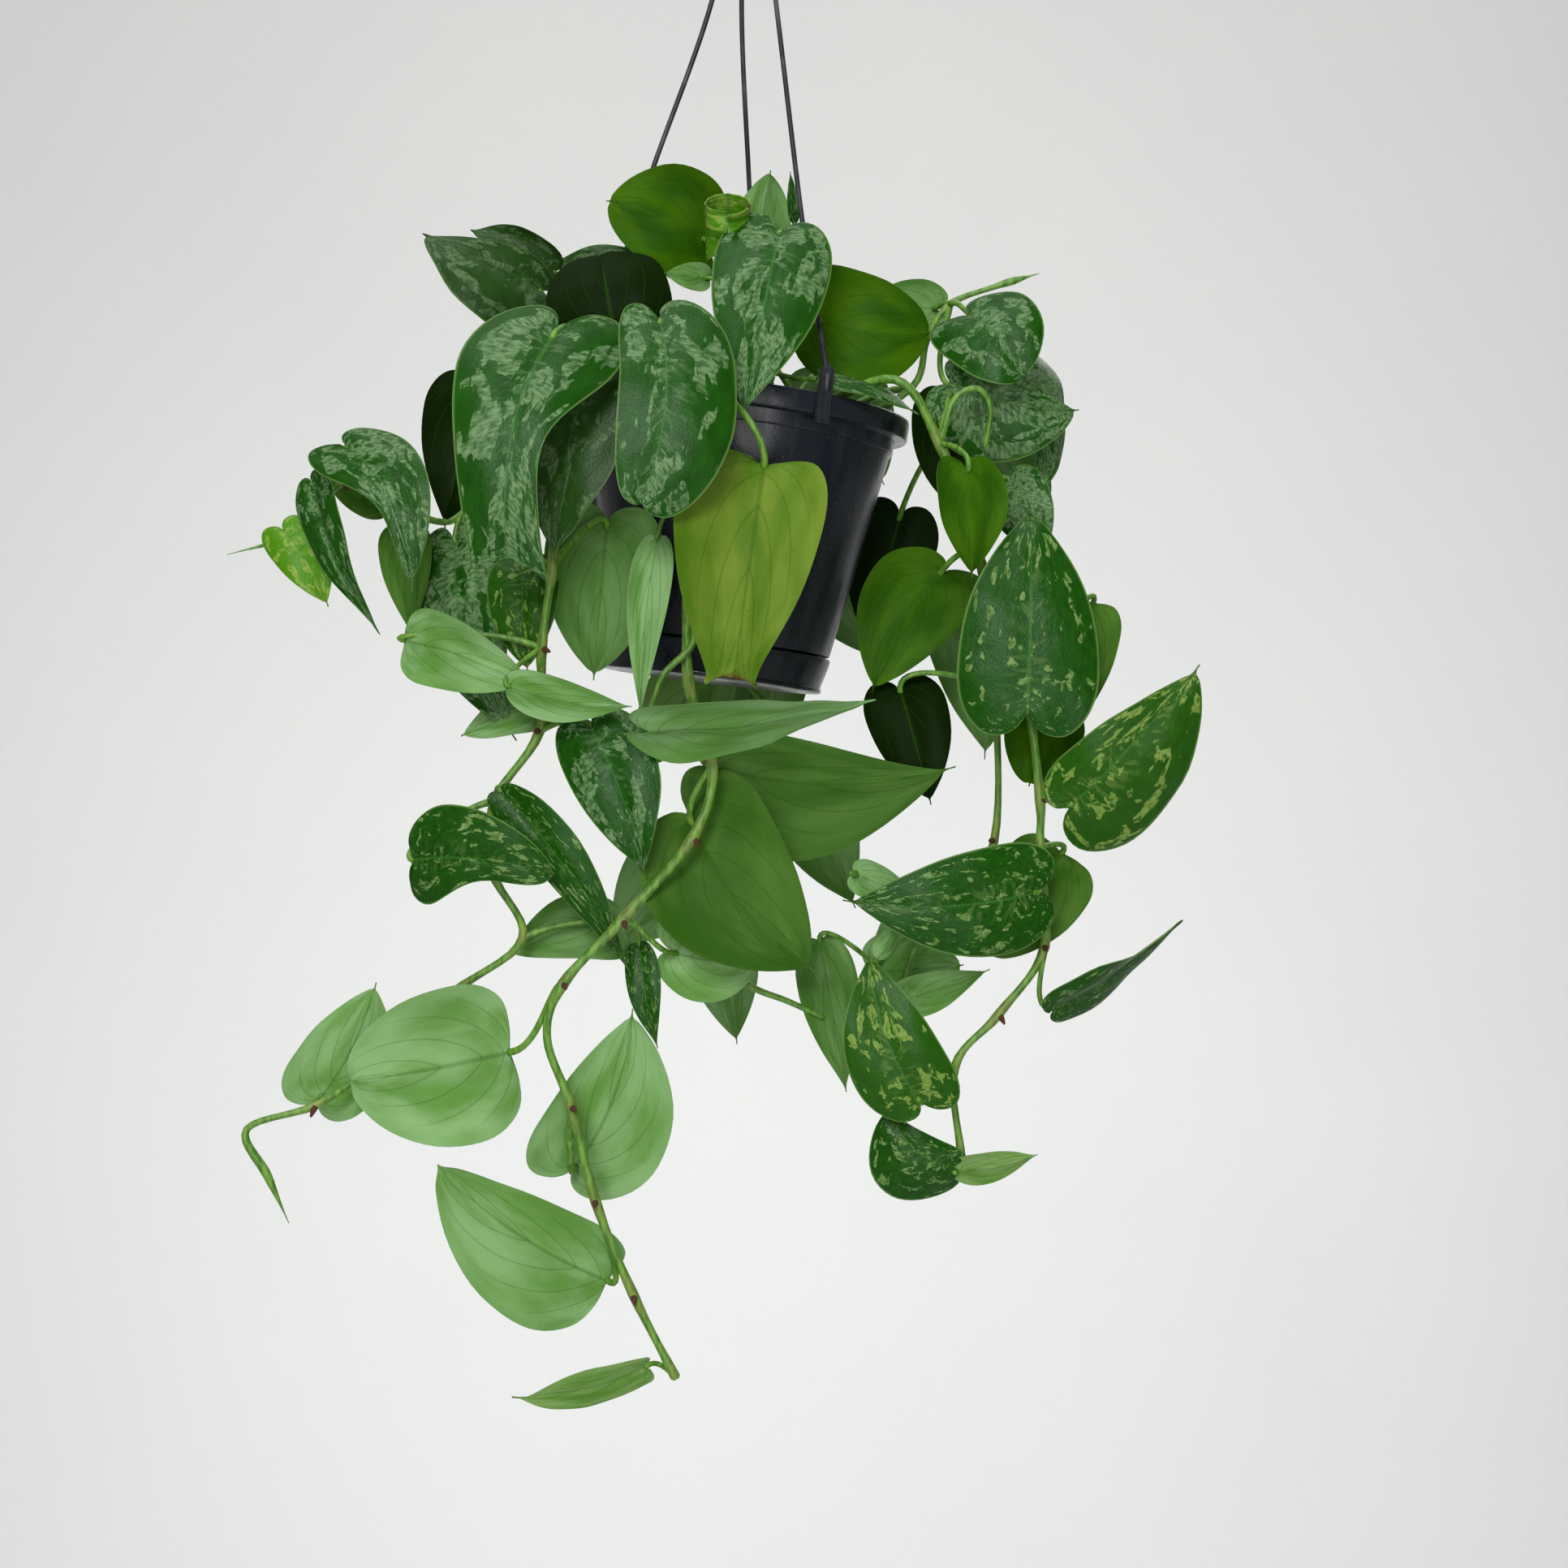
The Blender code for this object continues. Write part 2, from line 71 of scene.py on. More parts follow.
def smooth_path(points: list, steps: int) -> list[Vector]:
    """Run a Catmull-Rom curve through points.

    Args:
        points: The points to pass.
        steps: Pieces between two neighbouring points.

    Returns:
        The points of the finer path.
    """
    pts = [Vector(p) for p in points]
    pts = [2 * pts[0] - pts[1]] + pts + [2 * pts[-1] - pts[-2]]
    out = []
    for i in range(1, len(pts) - 2):
        a, b, c, d = pts[i - 1:i + 3]
        for k in range(steps):
            t = k / steps
            out.append(0.5 * (2 * b + (c - a) * t + (2 * a - 5 * b + 4 * c - d) * t ** 2
                              + (3 * b - a - 3 * c + d) * t ** 3))
    out.append(pts[-2])
    return out


def ease(value: float, low: float, high: float) -> float:
    """Rise smoothly from 0 at low to 1 at high."""
    share = min(max((value - low) / (high - low), 0.0), 1.0)
    return share * share * (3 - 2 * share)


class Graph:
    """A material and the short calls that wire its nodes."""

    def __init__(self, name: str, shine: float = 0.5) -> None:
        """Start a Principled material.

        Args:
            name: The material's name.
            shine: Strength of its mirror reflection, 0 to 1.
        """
        self.material = bpy.data.materials.new(name)
        self.material.use_nodes = True
        self.tree = self.material.node_tree
        self.shader = self.tree.nodes["Principled BSDF"]
        self.shader.inputs["Specular IOR Level"].default_value = shine

    def node(self, kind: str, **settings: object) -> bpy.types.Node:
        """Add a node and set its properties."""
        made = self.tree.nodes.new(kind)
        for key, value in settings.items():
            setattr(made, key, value)
        return made

    def feed(self, socket: bpy.types.NodeSocket, value: object) -> None:
        """Link a socket to another, or set its plain value."""
        if isinstance(value, bpy.types.NodeSocket):
            self.tree.links.new(value, socket)
        else:
            socket.default_value = value

    def math(self, operation: str, a: object, b: object = 0.0) -> bpy.types.NodeSocket:
        """Return the result of a Math node on two values."""
        made = self.node("ShaderNodeMath", operation=operation)
        self.feed(made.inputs[0], a)
        self.feed(made.inputs[1], b)
        return made.outputs[0]

    def plus(self, a: object, b: object) -> bpy.types.NodeSocket:
        """Return the sum of two values."""
        return self.math("ADD", a, b)

    def times(self, a: object, b: object) -> bpy.types.NodeSocket:
        """Return the product of two values."""
        return self.math("MULTIPLY", a, b)

    def flip(self, value: object) -> bpy.types.NodeSocket:
        """Return one less the value."""
        return self.math("SUBTRACT", 1.0, value)

    def step(self, value: object, low: object, high: object) -> bpy.types.NodeSocket:
        """Return a smooth rise from 0 to 1 as value goes from low to high."""
        made = self.node("ShaderNodeMapRange", interpolation_type="SMOOTHSTEP")
        self.feed(made.inputs["Value"], value)
        self.feed(made.inputs["From Min"], low)
        self.feed(made.inputs["From Max"], high)
        return made.outputs["Result"]

    def mix(self, factor: object, a: object, b: object) -> bpy.types.NodeSocket:
        """Return colour a turning to colour b as factor goes from 0 to 1."""
        made = self.node("ShaderNodeMix", data_type="RGBA")
        self.feed(made.inputs[0], factor)
        self.feed(made.inputs[6], a)
        self.feed(made.inputs[7], b)
        return made.outputs[2]

    def vector(self, x: object, y: object, z: object) -> bpy.types.NodeSocket:
        """Return three values as one vector."""
        made = self.node("ShaderNodeCombineXYZ")
        for socket, value in zip(made.inputs, (x, y, z)):
            self.feed(socket, value)
        return made.outputs[0]

    def noise(self, vector: object, scale: float, detail: float = 3.0,
              distortion: float = 0.0) -> bpy.types.NodeSocket:
        """Return the grey value of a Noise texture.

        Args:
            vector: The coordinates.
            scale: Its scale.
            detail: Its number of finer layers.
            distortion: How much it is pulled about.

        Returns:
            The texture's value socket.
        """
        made = self.node("ShaderNodeTexNoise")
        self.feed(made.inputs["Vector"], vector)
        made.inputs["Scale"].default_value = scale
        made.inputs["Detail"].default_value = detail
        made.inputs["Distortion"].default_value = distortion
        return made.outputs["Fac"]

    def attribute(self, name: str) -> bpy.types.NodeSocket:
        """Return a value that the mesh carries at its points."""
        return self.node("ShaderNodeAttribute", attribute_name=name).outputs["Fac"]

    def place(self) -> bpy.types.NodeSocket:
        """Return the object's own coordinates, in metres."""
        return self.node("ShaderNodeTexCoord").outputs["Object"]

    def blade(self) -> tuple[bpy.types.NodeSocket, bpy.types.NodeSocket, bpy.types.NodeSocket]:
        """Read where a point lies on its leaf.

        Returns:
            Share along the midrib, side from -1 to 1, and distance from the midrib from 0 to 1.
        """
        parts = self.node("ShaderNodeSeparateXYZ")
        self.feed(parts.inputs[0], self.node("ShaderNodeUVMap", uv_map="blade").outputs[0])
        side = self.times(self.math("SUBTRACT", parts.outputs[1], 0.5), 2.0)
        return parts.outputs[0], side, self.math("ABSOLUTE", side)

    def finish(self, colour: object, rough: object, height: object, depth: float) -> bpy.types.Material:
        """Wire colour, roughness and bump into the shader.

        Args:
            colour: Base colour.
            rough: Roughness.
            height: Bump height, 0 to 1.
            depth: How deep the bump is, in millimetres.

        Returns:
            The finished material.
        """
        bump = self.node("ShaderNodeBump")
        bump.inputs["Distance"].default_value = depth * MM
        self.feed(bump.inputs["Height"], height)
        self.feed(self.shader.inputs["Base Color"], colour)
        self.feed(self.shader.inputs["Roughness"], rough)
        self.feed(self.shader.inputs["Normal"], bump.outputs["Normal"])
        return self.material


@dataclass(frozen=True)
class SatinUpper:
    """The leaf's upper side: dark green with jagged silver patches along the veins, darkened towards
    grey-green by painted shade on leaves that sit in shade.
    """

    deep: tuple = tint(8, 46, 3)
    green: tuple = tint(32, 92, 6)
    silver_low: tuple = tint(60, 98, 50)
    silver_high: tuple = tint(108, 138, 92)
    lime: tuple = tint(136, 166, 58)
    edge: tuple = tint(110, 146, 74)
    rib: tuple = tint(58, 112, 40)
    young: tuple = tint(84, 146, 16)
    painted_shade_green: tuple = tint(44, 58, 30)
    shine: float = 0.16
    bare_limit: float = 0.68
    cover_gain: float = 0.30
    patch_edge: float = 0.022
    veins: float = 68.0
    bump_mm: float = 0.22

    def make(self) -> bpy.types.Material:
        """Build the material."""
        g = Graph("satin_upper", self.shine)
        along, side, out = g.blade()
        seed = g.attribute("seed")
        cover = g.attribute("cover")
        grain = g.attribute("grain")
        x = g.times(along, grain)
        y = g.times(side, g.times(grain, 0.30))
        spot = g.vector(g.plus(x, g.times(seed, 37.0)), y, g.times(seed, 11.0))
        patch_noise = g.noise(spot, 0.9, 3.2, 0.5)
        limit = g.math("SUBTRACT", self.bare_limit, g.times(cover, self.cover_gain))
        patch = g.step(patch_noise, limit, g.plus(limit, self.patch_edge))
        island = g.step(g.noise(spot, 2.3, 1.5, 0.4), 0.58, 0.62)
        patch = g.times(patch, g.flip(g.times(island, 0.85)))
        fine = g.noise(g.vector(g.times(along, 95.0), g.times(side, 7.0), seed), 1.0, 3.0)
        streak = g.noise(g.vector(g.times(along, 44.0), g.times(side, 3.2), seed), 1.0, 3.0)
        streak = g.times(g.step(streak, 0.50, 0.62), g.flip(g.step(out, 0.10, 0.55)))
        streak = g.times(streak, g.times(cover, 0.9))
        mask = g.math("MAXIMUM", patch, streak)
        broken = g.plus(0.55, g.times(g.step(fine, 0.26, 0.50), 0.45))
        mask = g.times(mask, broken)
        mask = g.times(mask, g.flip(g.step(out, 0.93, 0.97)))
        green = g.mix(g.noise(spot, 1.7, 3.0), self.deep, self.green)
        silver = g.mix(g.step(fine, 0.35, 0.68), self.silver_low, self.silver_high)
        silver = g.mix(g.attribute("warm"), silver, self.lime)
        green = g.mix(g.attribute("young"), green, self.young)
        colour = g.mix(mask, green, silver)
        colour = g.mix(g.times(g.step(out, 0.955, 0.99), 0.6), colour, self.edge)
        rib = g.flip(g.step(out, 0.008, 0.040))
        colour = g.mix(g.times(rib, 0.6), colour, self.rib)
        # Painted shade: this share darkens the whole upper side towards grey-green, for leaves that sit in
        # shade.
        colour = g.mix(g.attribute("dull"), colour, self.painted_shade_green)
        vein = g.math("SINE", g.times(along, self.veins))
        height = g.plus(g.times(vein, 0.25), g.times(mask, 0.3))
        height = g.plus(height, g.noise(g.place(), 900.0, 2.0))
        rough = g.plus(0.36, g.times(mask, 0.12))
        return g.finish(colour, rough, height, self.bump_mm)


@dataclass(frozen=True)
class SatinUnder:
    """The leaf's underside: matt pale green to olive, with darker curved veins; the olive end is a
    painted-shade copy of the pale green.
    """

    pale: tuple = tint(136, 176, 116)
    fresh: tuple = tint(94, 142, 62)
    olive: tuple = tint(62, 102, 3)
    painted_shade_green: tuple = tint(36, 78, 4)
    yellow: tuple = tint(114, 136, 34)
    dark_yellow_and_shade: tuple = tint(72, 108, 10)
    vein: tuple = tint(40, 84, 14)
    brown: tuple = tint(92, 58, 30)
    painted_deep_shade: tuple = tint(9, 26, 0)
    shine: float = 0.04
    veins: float = 6.0
    vein_bend: float = 0.44
    line_share: float = 0.30
    rib_share: float = 0.38
    bump_mm: float = 0.20

    def make(self) -> bpy.types.Material:
        """Build the material."""
        g = Graph("satin_under", self.shine)
        along, side, out = g.blade()
        seed = g.attribute("seed")
        soft = g.noise(g.vector(g.times(along, 3.4), g.times(side, 1.6), seed), 1.0, 3.0)
        soft = g.step(soft, 0.3, 0.7)
        # A lit copy and a painted-shade copy of the underside green; the shade value picks between them.
        light, shaded = g.mix(soft, self.fresh, self.pale), g.mix(soft, self.painted_shade_green, self.olive)
        colour = g.mix(g.attribute("shade"), light, shaded)
        # Painted shade at the foot: the yellow turns darker towards the blade's foot; the darker yellow also
        # serves as a mottling tone.
        foot_shaded_yellow = g.mix(g.step(along, 0.02, 0.34), self.dark_yellow_and_shade, self.yellow)
        colour = g.mix(g.attribute("warm"), colour, g.mix(soft, self.dark_yellow_and_shade, foot_shaded_yellow))
        # Painted shade: this share darkens the underside to near black, for leaves deep in shade.
        colour = g.mix(g.attribute("dull"), colour, self.painted_deep_shade)
        bend = g.times(g.math("POWER", out, 1.3), self.vein_bend)
        ribs = g.times(g.math("SUBTRACT", along, bend), self.veins)
        line = g.math("ABSOLUTE", g.math("SUBTRACT", g.math("FRACT", ribs), 0.5))
        line = g.flip(g.step(line, 0.0, 0.055))
        line = g.times(line, g.flip(g.step(out, 0.60, 0.98)))
        rib = g.flip(g.step(out, 0.01, 0.05))
        colour = g.mix(g.times(line, self.line_share), colour, self.vein)
        colour = g.mix(g.times(rib, self.rib_share), colour, self.vein)
        speck = g.step(g.noise(g.place(), 330.0, 2.0), 0.70, 0.76)
        colour = g.mix(g.times(speck, g.times(g.attribute("warm"), 0.55)), colour, self.brown)
        end = g.times(g.attribute("burn"), g.step(g.noise(g.place(), 260.0, 3.0), 0.30, 0.55))
        colour = g.mix(end, colour, self.brown)
        height = g.math("SUBTRACT", g.noise(g.place(), 700.0, 3.0), g.times(line, 0.7))
        rough = g.plus(0.42, g.times(soft, 0.10))
        return g.finish(colour, rough, height, self.bump_mm)


@dataclass(frozen=True)
class StemSkin:
    """Green stem with pale streaks, tanned at the joints."""

    green: tuple = tint(66, 114, 22)
    light: tuple = tint(108, 154, 52)
    tan: tuple = tint(134, 124, 62)

    def make(self) -> bpy.types.Material:
        """Build the material."""
        g = Graph("stem_skin")
        long_marks = g.node("ShaderNodeMapping")
        long_marks.inputs["Scale"].default_value = (1.0, 1.0, 0.25)
        g.feed(long_marks.inputs["Vector"], g.place())
        streaks = g.noise(long_marks.outputs[0], 420.0, 4.0)
        colour = g.mix(g.step(streaks, 0.35, 0.66), self.green, self.light)
        tan = g.times(g.attribute("wear"), g.step(g.noise(g.place(), 300.0, 3.0), 0.35, 0.6))
        colour = g.mix(tan, colour, self.tan)
        return g.finish(colour, g.plus(0.36, g.times(streaks, 0.15)), streaks, 0.25)


@dataclass(frozen=True)
class NubBark:
    """Red-brown skin of the short air roots."""

    dark: tuple = tint(48, 26, 18)
    light: tuple = tint(98, 56, 38)

    def make(self) -> bpy.types.Material:
        """Build the material."""
        g = Graph("nub_bark")
        grain = g.noise(g.place(), 900.0, 4.0)
        return g.finish(g.mix(grain, self.dark, self.light), g.plus(0.5, grain), grain, 0.3)


@dataclass(frozen=True)
class PotPlastic:
    """Black moulded plastic with upright scuffs and pale dust."""

    base: tuple = tint(20, 24, 33)
    worn: tuple = tint(38, 42, 52)
    dust: tuple = tint(104, 102, 96)

    def make(self) -> bpy.types.Material:
        """Build the material."""
        g = Graph("pot_plastic")
        upright = g.node("ShaderNodeMapping")
        upright.inputs["Scale"].default_value = (1.0, 1.0, 0.10)
        g.feed(upright.inputs["Vector"], g.place())
        scuff = g.step(g.noise(upright.outputs[0], 110.0, 5.0), 0.40, 0.80)
        cloud = g.noise(g.place(), 28.0, 4.0)
        fleck = g.step(g.noise(g.place(), 520.0, 2.0), 0.69, 0.75)
        colour = g.mix(g.times(scuff, cloud), self.base, self.worn)
        colour = g.mix(g.times(fleck, 0.55), colour, self.dust)
        rough = g.plus(0.24, g.times(scuff, 0.26))
        return g.finish(colour, rough, g.plus(scuff, g.noise(g.place(), 1300.0, 2.0)), 0.06)


@dataclass(frozen=True)
class HangerPlastic:
    """Dark grey moulded plastic with a fine matt grain."""

    base: tuple = tint(26, 28, 31)
    light: tuple = tint(66, 68, 74)

    def make(self) -> bpy.types.Material:
        """Build the material."""
        g = Graph("hanger_plastic")
        grain = g.noise(g.place(), 600.0, 4.0)
        wear = g.step(g.noise(g.place(), 70.0, 4.0), 0.46, 0.72)
        return g.finish(g.mix(wear, self.base, self.light), g.plus(0.34, g.times(grain, 0.3)),
                        grain, 0.08)


@dataclass(frozen=True)
class PottingSoil:
    """Dark peat with bark fibre."""

    dark: tuple = tint(34, 24, 18)
    light: tuple = tint(104, 78, 54)

    def make(self) -> bpy.types.Material:
        """Build the material."""
        g = Graph("potting_soil")
        grain = g.noise(g.place(), 380.0, 6.0, 0.4)
        return g.finish(g.mix(g.step(grain, 0.42, 0.72), self.dark, self.light), 0.95, grain, 0.9)


@dataclass(frozen=True)
class Plaster:
    """Pale matt surface of the backdrop."""

    light: tuple = tint(225, 225, 224)
    shade: tuple = tint(220, 220, 220)

    def make(self) -> bpy.types.Material:
        """Build the material."""
        g = Graph("backdrop_plaster")
        cloud = g.noise(g.place(), 3.0, 3.0)
        return g.finish(g.mix(cloud, self.shade, self.light), 0.9, g.noise(g.place(), 260.0, 3.0), 0.15)


FINISHES = {
    "upper": SatinUpper().make(),
    "under": SatinUnder().make(),
    "stem": StemSkin().make(),
    "nub": NubBark().make(),
    "pot": PotPlastic().make(),
    "hanger": HangerPlastic().make(),
    "soil": PottingSoil().make(),
    "plaster": Plaster().make(),
}


class Skin:
    """Points, faces and point values that grow into one mesh."""

    def __init__(self) -> None:
        """Start empty."""
        self.verts: list[Vector] = []
        self.faces: list[tuple[int, ...]] = []
        self.slots: list[int] = []
        self.wear: list[float] = []

    def add(self, verts: list[Vector], faces: list[tuple[int, ...]], slot: int = 0,
            wear: float = 0.0) -> None:
        """Add a closed lump.

        Args:
            verts: Its points, mm.
            faces: Its faces as indices into verts.
            slot: Its material slot.
            wear: How worn its points are, 0 to 1.
        """
        start = len(self.verts)
        self.verts += verts
        self.faces += [tuple(start + i for i in face) for face in faces]
        self.slots += [slot] * len(faces)
        self.wear += [wear] * len(verts)

    def tube(self, points: list[Vector], radii: list[float], sides: int = 12, slot: int = 0,
             wear: list[float] | None = None) -> None:
        """Sweep a round tube with domed ends along points.

        Args:
            points: The tube's middle line, mm.
            radii: Its radius at each point, mm.
            sides: Points round it.
            slot: Its material slot.
            wear: Wear at each point.
        """
        count = len(points)
        runs = [(points[min(i + 1, count - 1)] - points[max(i - 1, 0)]).normalized() for i in range(count)]
        across = runs[0].orthogonal().normalized()
        rings = []
        for i in range(count):
            across = (across - runs[i] * across.dot(runs[i])).normalized()
            rings.append((points[i], across.copy(), runs[i].cross(across), radii[i]))
        first, last = rings[0], rings[-1]
        rings = [(first[0] - runs[0] * first[3] * DOME_RISE, *first[1:3], first[3] * DOME_SHARE)] + rings
        rings.append((last[0] + runs[-1] * last[3] * DOME_RISE, *last[1:3], last[3] * DOME_SHARE))
        verts = []
        for middle, a, b, radius in rings:
            for k in range(sides):
                turn = 2 * math.pi * k / sides
                verts.append(middle + (a * math.cos(turn) + b * math.sin(turn)) * radius)
        faces = [tuple(reversed(range(sides)))]
        for i in range(len(rings) - 1):
            for k in range(sides):
                n = (k + 1) % sides
                faces.append((i * sides + k, i * sides + n, (i + 1) * sides + n, (i + 1) * sides + k))
        faces.append(tuple(range((len(rings) - 1) * sides, len(rings) * sides)))
        begin = len(self.wear)
        self.add(verts, faces, slot)
        for i, value in enumerate(wear or ()):
            for k in range(sides):
                self.wear[begin + (i + 1) * sides + k] = value

    def turned(self, profile: list[tuple[float, float]], place: Matrix, around: int = 144) -> None:
        """Spin a closed profile of (radius, depth) round the pot's axis.

        Args:
            profile: Points from the axis out and back to the axis, mm.
            place: The matrix that puts it in the frame, in mm.
            around: Points round it.
        """
        verts = []
        faces = []
        for radius, depth in profile[1:-1]:
            for k in range(around):
                turn = 2 * math.pi * k / around
                verts.append(place @ Vector((radius * math.cos(turn), radius * math.sin(turn), -depth)))
        rings = len(profile) - 2
        for i in range(rings - 1):
            for k in range(around):
                n = (k + 1) % around
                faces.append((i * around + k, (i + 1) * around + k, (i + 1) * around + n, i * around + n))
        for row, point in ((0, profile[0]), (rings - 1, profile[-1])):
            hub = len(verts)
            verts.append(place @ Vector((0.0, 0.0, -point[1])))
            for k in range(around):
                n = (k + 1) % around
                pair = (row * around + k, row * around + n)
                faces.append((hub, *pair) if row == 0 else (hub, *reversed(pair)))
        self.add(verts, faces)

    def chip(self, centre: Vector, size: Vector, spin: Quaternion) -> None:
        """Add a small broken flake.

        Args:
            centre: Its middle, mm.
            size: Half its length, width and thickness, mm.
            spin: Its turn.
        """
        corners = ((1, 0.2, 0), (0.4, 1, 0), (-0.7, 0.8, 0), (-1, -0.3, 0), (0.1, -1, 0), (0.2, 0, 1),
                   (0, 0.1, -1))
        verts = [centre + spin @ Vector((x * size.x, y * size.y, z * size.z)) for x, y, z in corners]
        faces = [(i, (i + 1) % 5, 5) for i in range(5)] + [((i + 1) % 5, i, 6) for i in range(5)]
        self.add(verts, faces)

    def piece(self, name: str, finishes: list[str], sharp: float = 50.0) -> bpy.types.Object:
        """Make the mesh object, smooth except at sharp edges.

        Args:
            name: The object's name.
            finishes: The finish of each material slot.
            sharp: Edges bent more than this many degrees stay sharp.

        Returns:
            The object, linked to the scene.
        """
        mesh = bpy.data.meshes.new(name)
        mesh.from_pydata([v * MM for v in self.verts], [], self.faces)
        mesh.polygons.foreach_set("material_index", self.slots)
        worn = mesh.attributes.new("wear", "FLOAT", "POINT")
        worn.data.foreach_set("value", self.wear)
        mesh.shade_smooth()
        mesh.set_sharp_from_angle(angle=math.radians(sharp))
        return place_piece(name, mesh, finishes)


def place_piece(name: str, mesh: bpy.types.Mesh, finishes: list[str]) -> bpy.types.Object:
    """Link a mesh as an object that rides on the plant's one body.

    Args:
        name: The object's name.
        mesh: Its mesh.
        finishes: The finish of each material slot.

    Returns:
        The object.
    """
    for finish in finishes:
        mesh.materials.append(FINISHES[finish])
    piece = bpy.data.objects.new(name, mesh)
    bpy.context.scene.collection.objects.link(piece)
    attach(piece, "root")
    return piece


def stand_for(piece: bpy.types.Object, node: str) -> None:
    """Hide the model part that a piece stands for, and log the piece's face count."""
    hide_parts(node)
    log.info("%s: %d faces", piece.name, len(piece.data.polygons))


class Outline(Enum):
    """Half-blade outlines: share along the midrib, angle off it and share of the half width."""

    HEART = ((0.00, 166.0, 0.18), (0.00, 145.0, 0.44), (0.02, 121.0, 0.75), (0.08, 98.0, 0.95),
             (0.18, 81.0, 1.00), (0.36, 61.0, 0.95), (0.59, 43.0, 0.69), (0.81, 28.0, 0.32),
             (0.92, 17.0, 0.09), (1.00, 8.0, 0.01))
    ROUND = ((0.00, 102.0, 0.12), (0.00, 99.0, 0.38), (0.02, 94.0, 0.70), (0.09, 85.0, 0.93),
             (0.20, 76.0, 1.00), (0.38, 63.0, 0.98), (0.60, 49.0, 0.78), (0.80, 36.0, 0.46),
             (0.93, 24.0, 0.16), (1.00, 12.0, 0.01))
    SLIM = ((0.00, 140.0, 0.14), (0.01, 124.0, 0.40), (0.05, 104.0, 0.68), (0.16, 80.0, 0.94),
            (0.36, 58.0, 1.00), (0.60, 42.0, 0.76), (0.82, 28.0, 0.36), (0.93, 18.0, 0.13),
            (1.00, 10.0, 0.01))
    CUT = ((0.00, 116.0, 0.16), (0.00, 110.0, 0.46), (0.02, 100.0, 0.80), (0.10, 88.0, 0.98),
           (0.24, 72.0, 1.00), (0.44, 58.0, 0.92), (0.64, 46.0, 0.74), (0.82, 40.0, 0.54),
           (0.94, 50.0, 0.42), (1.00, 88.0, 0.34))
    BLUNT = ((0.00, 168.0, 0.26), (0.00, 147.0, 0.58), (0.03, 118.0, 0.90), (0.10, 92.0, 1.00),
             (0.22, 74.0, 0.94), (0.40, 60.0, 0.84), (0.60, 52.0, 0.76), (0.80, 48.0, 0.68),
             (0.93, 56.0, 0.60), (0.98, 72.0, 0.50))
    FUNNEL = ((0.00, 90.0, 0.10), (0.06, 90.0, 0.34), (0.15, 90.0, 0.56), (0.28, 90.0, 0.74),
              (0.44, 90.0, 0.86), (0.58, 90.0, 0.94), (0.70, 90.0, 0.98), (0.82, 90.0, 1.00),
              (0.92, 90.0, 1.00), (1.00, 90.0, 0.98))
    SPOON = ((0.00, 168.0, 0.22), (0.00, 146.0, 0.48), (0.02, 120.0, 0.74), (0.10, 94.0, 0.88),
             (0.25, 78.0, 0.93), (0.45, 66.0, 1.00), (0.65, 54.0, 0.94), (0.82, 44.0, 0.70),
             (0.93, 36.0, 0.38), (1.00, 20.0, 0.02))


@dataclass(frozen=True)
class LookValues:
    """What a leaf's two finishes read from its points."""

    cover: float = 0.5
    grain: float = 13.0
    warm: float = 0.0
    young: float = 0.0
    # Share of painted shade that darkens the whole leaf.
    dull: float = 0.0
    shade: float = 0.3
    burn: float = 0.0
    slot: str = "leaf_silver"


class Look(Enum):
    """The named looks a leaf can have."""

    HEAVY = LookValues(cover=0.57, grain=10.0)
    SILVER = LookValues(cover=0.84, grain=11.0)
    MIXED = LookValues(cover=0.46, grain=12.0)
    # Painted shade: a silver look darkened towards grey-green, for leaves in shade.
    DULL = LookValues(cover=0.56, grain=11.0, dull=0.45)
    SPECKLED = LookValues(cover=0.30, grain=23.0, warm=0.25)
    LIME = LookValues(cover=0.42, grain=17.0, warm=0.55, young=0.10)
    YOUNG = LookValues(cover=0.44, grain=11.0, warm=0.8, young=0.75)
    # Underside looks: shade picks between a lit copy and a painted-shade copy of the underside colour, from
    # PALE, the most lit, to OLIVE, the most shaded.
    PALE = LookValues(shade=0.05, slot="leaf_under")
    FRESH = LookValues(shade=0.42, slot="leaf_under")
    LIT = LookValues(shade=0.15, warm=0.35, slot="leaf_under")
    MOSS = LookValues(shade=0.88, slot="leaf_under")
    OLIVE = LookValues(shade=0.95, slot="leaf_under")
    SHADED = LookValues(shade=1.0, dull=0.97, slot="leaf_under")
    YELLOW = LookValues(shade=0.4, warm=0.85, burn=1.0, slot="leaf_under")


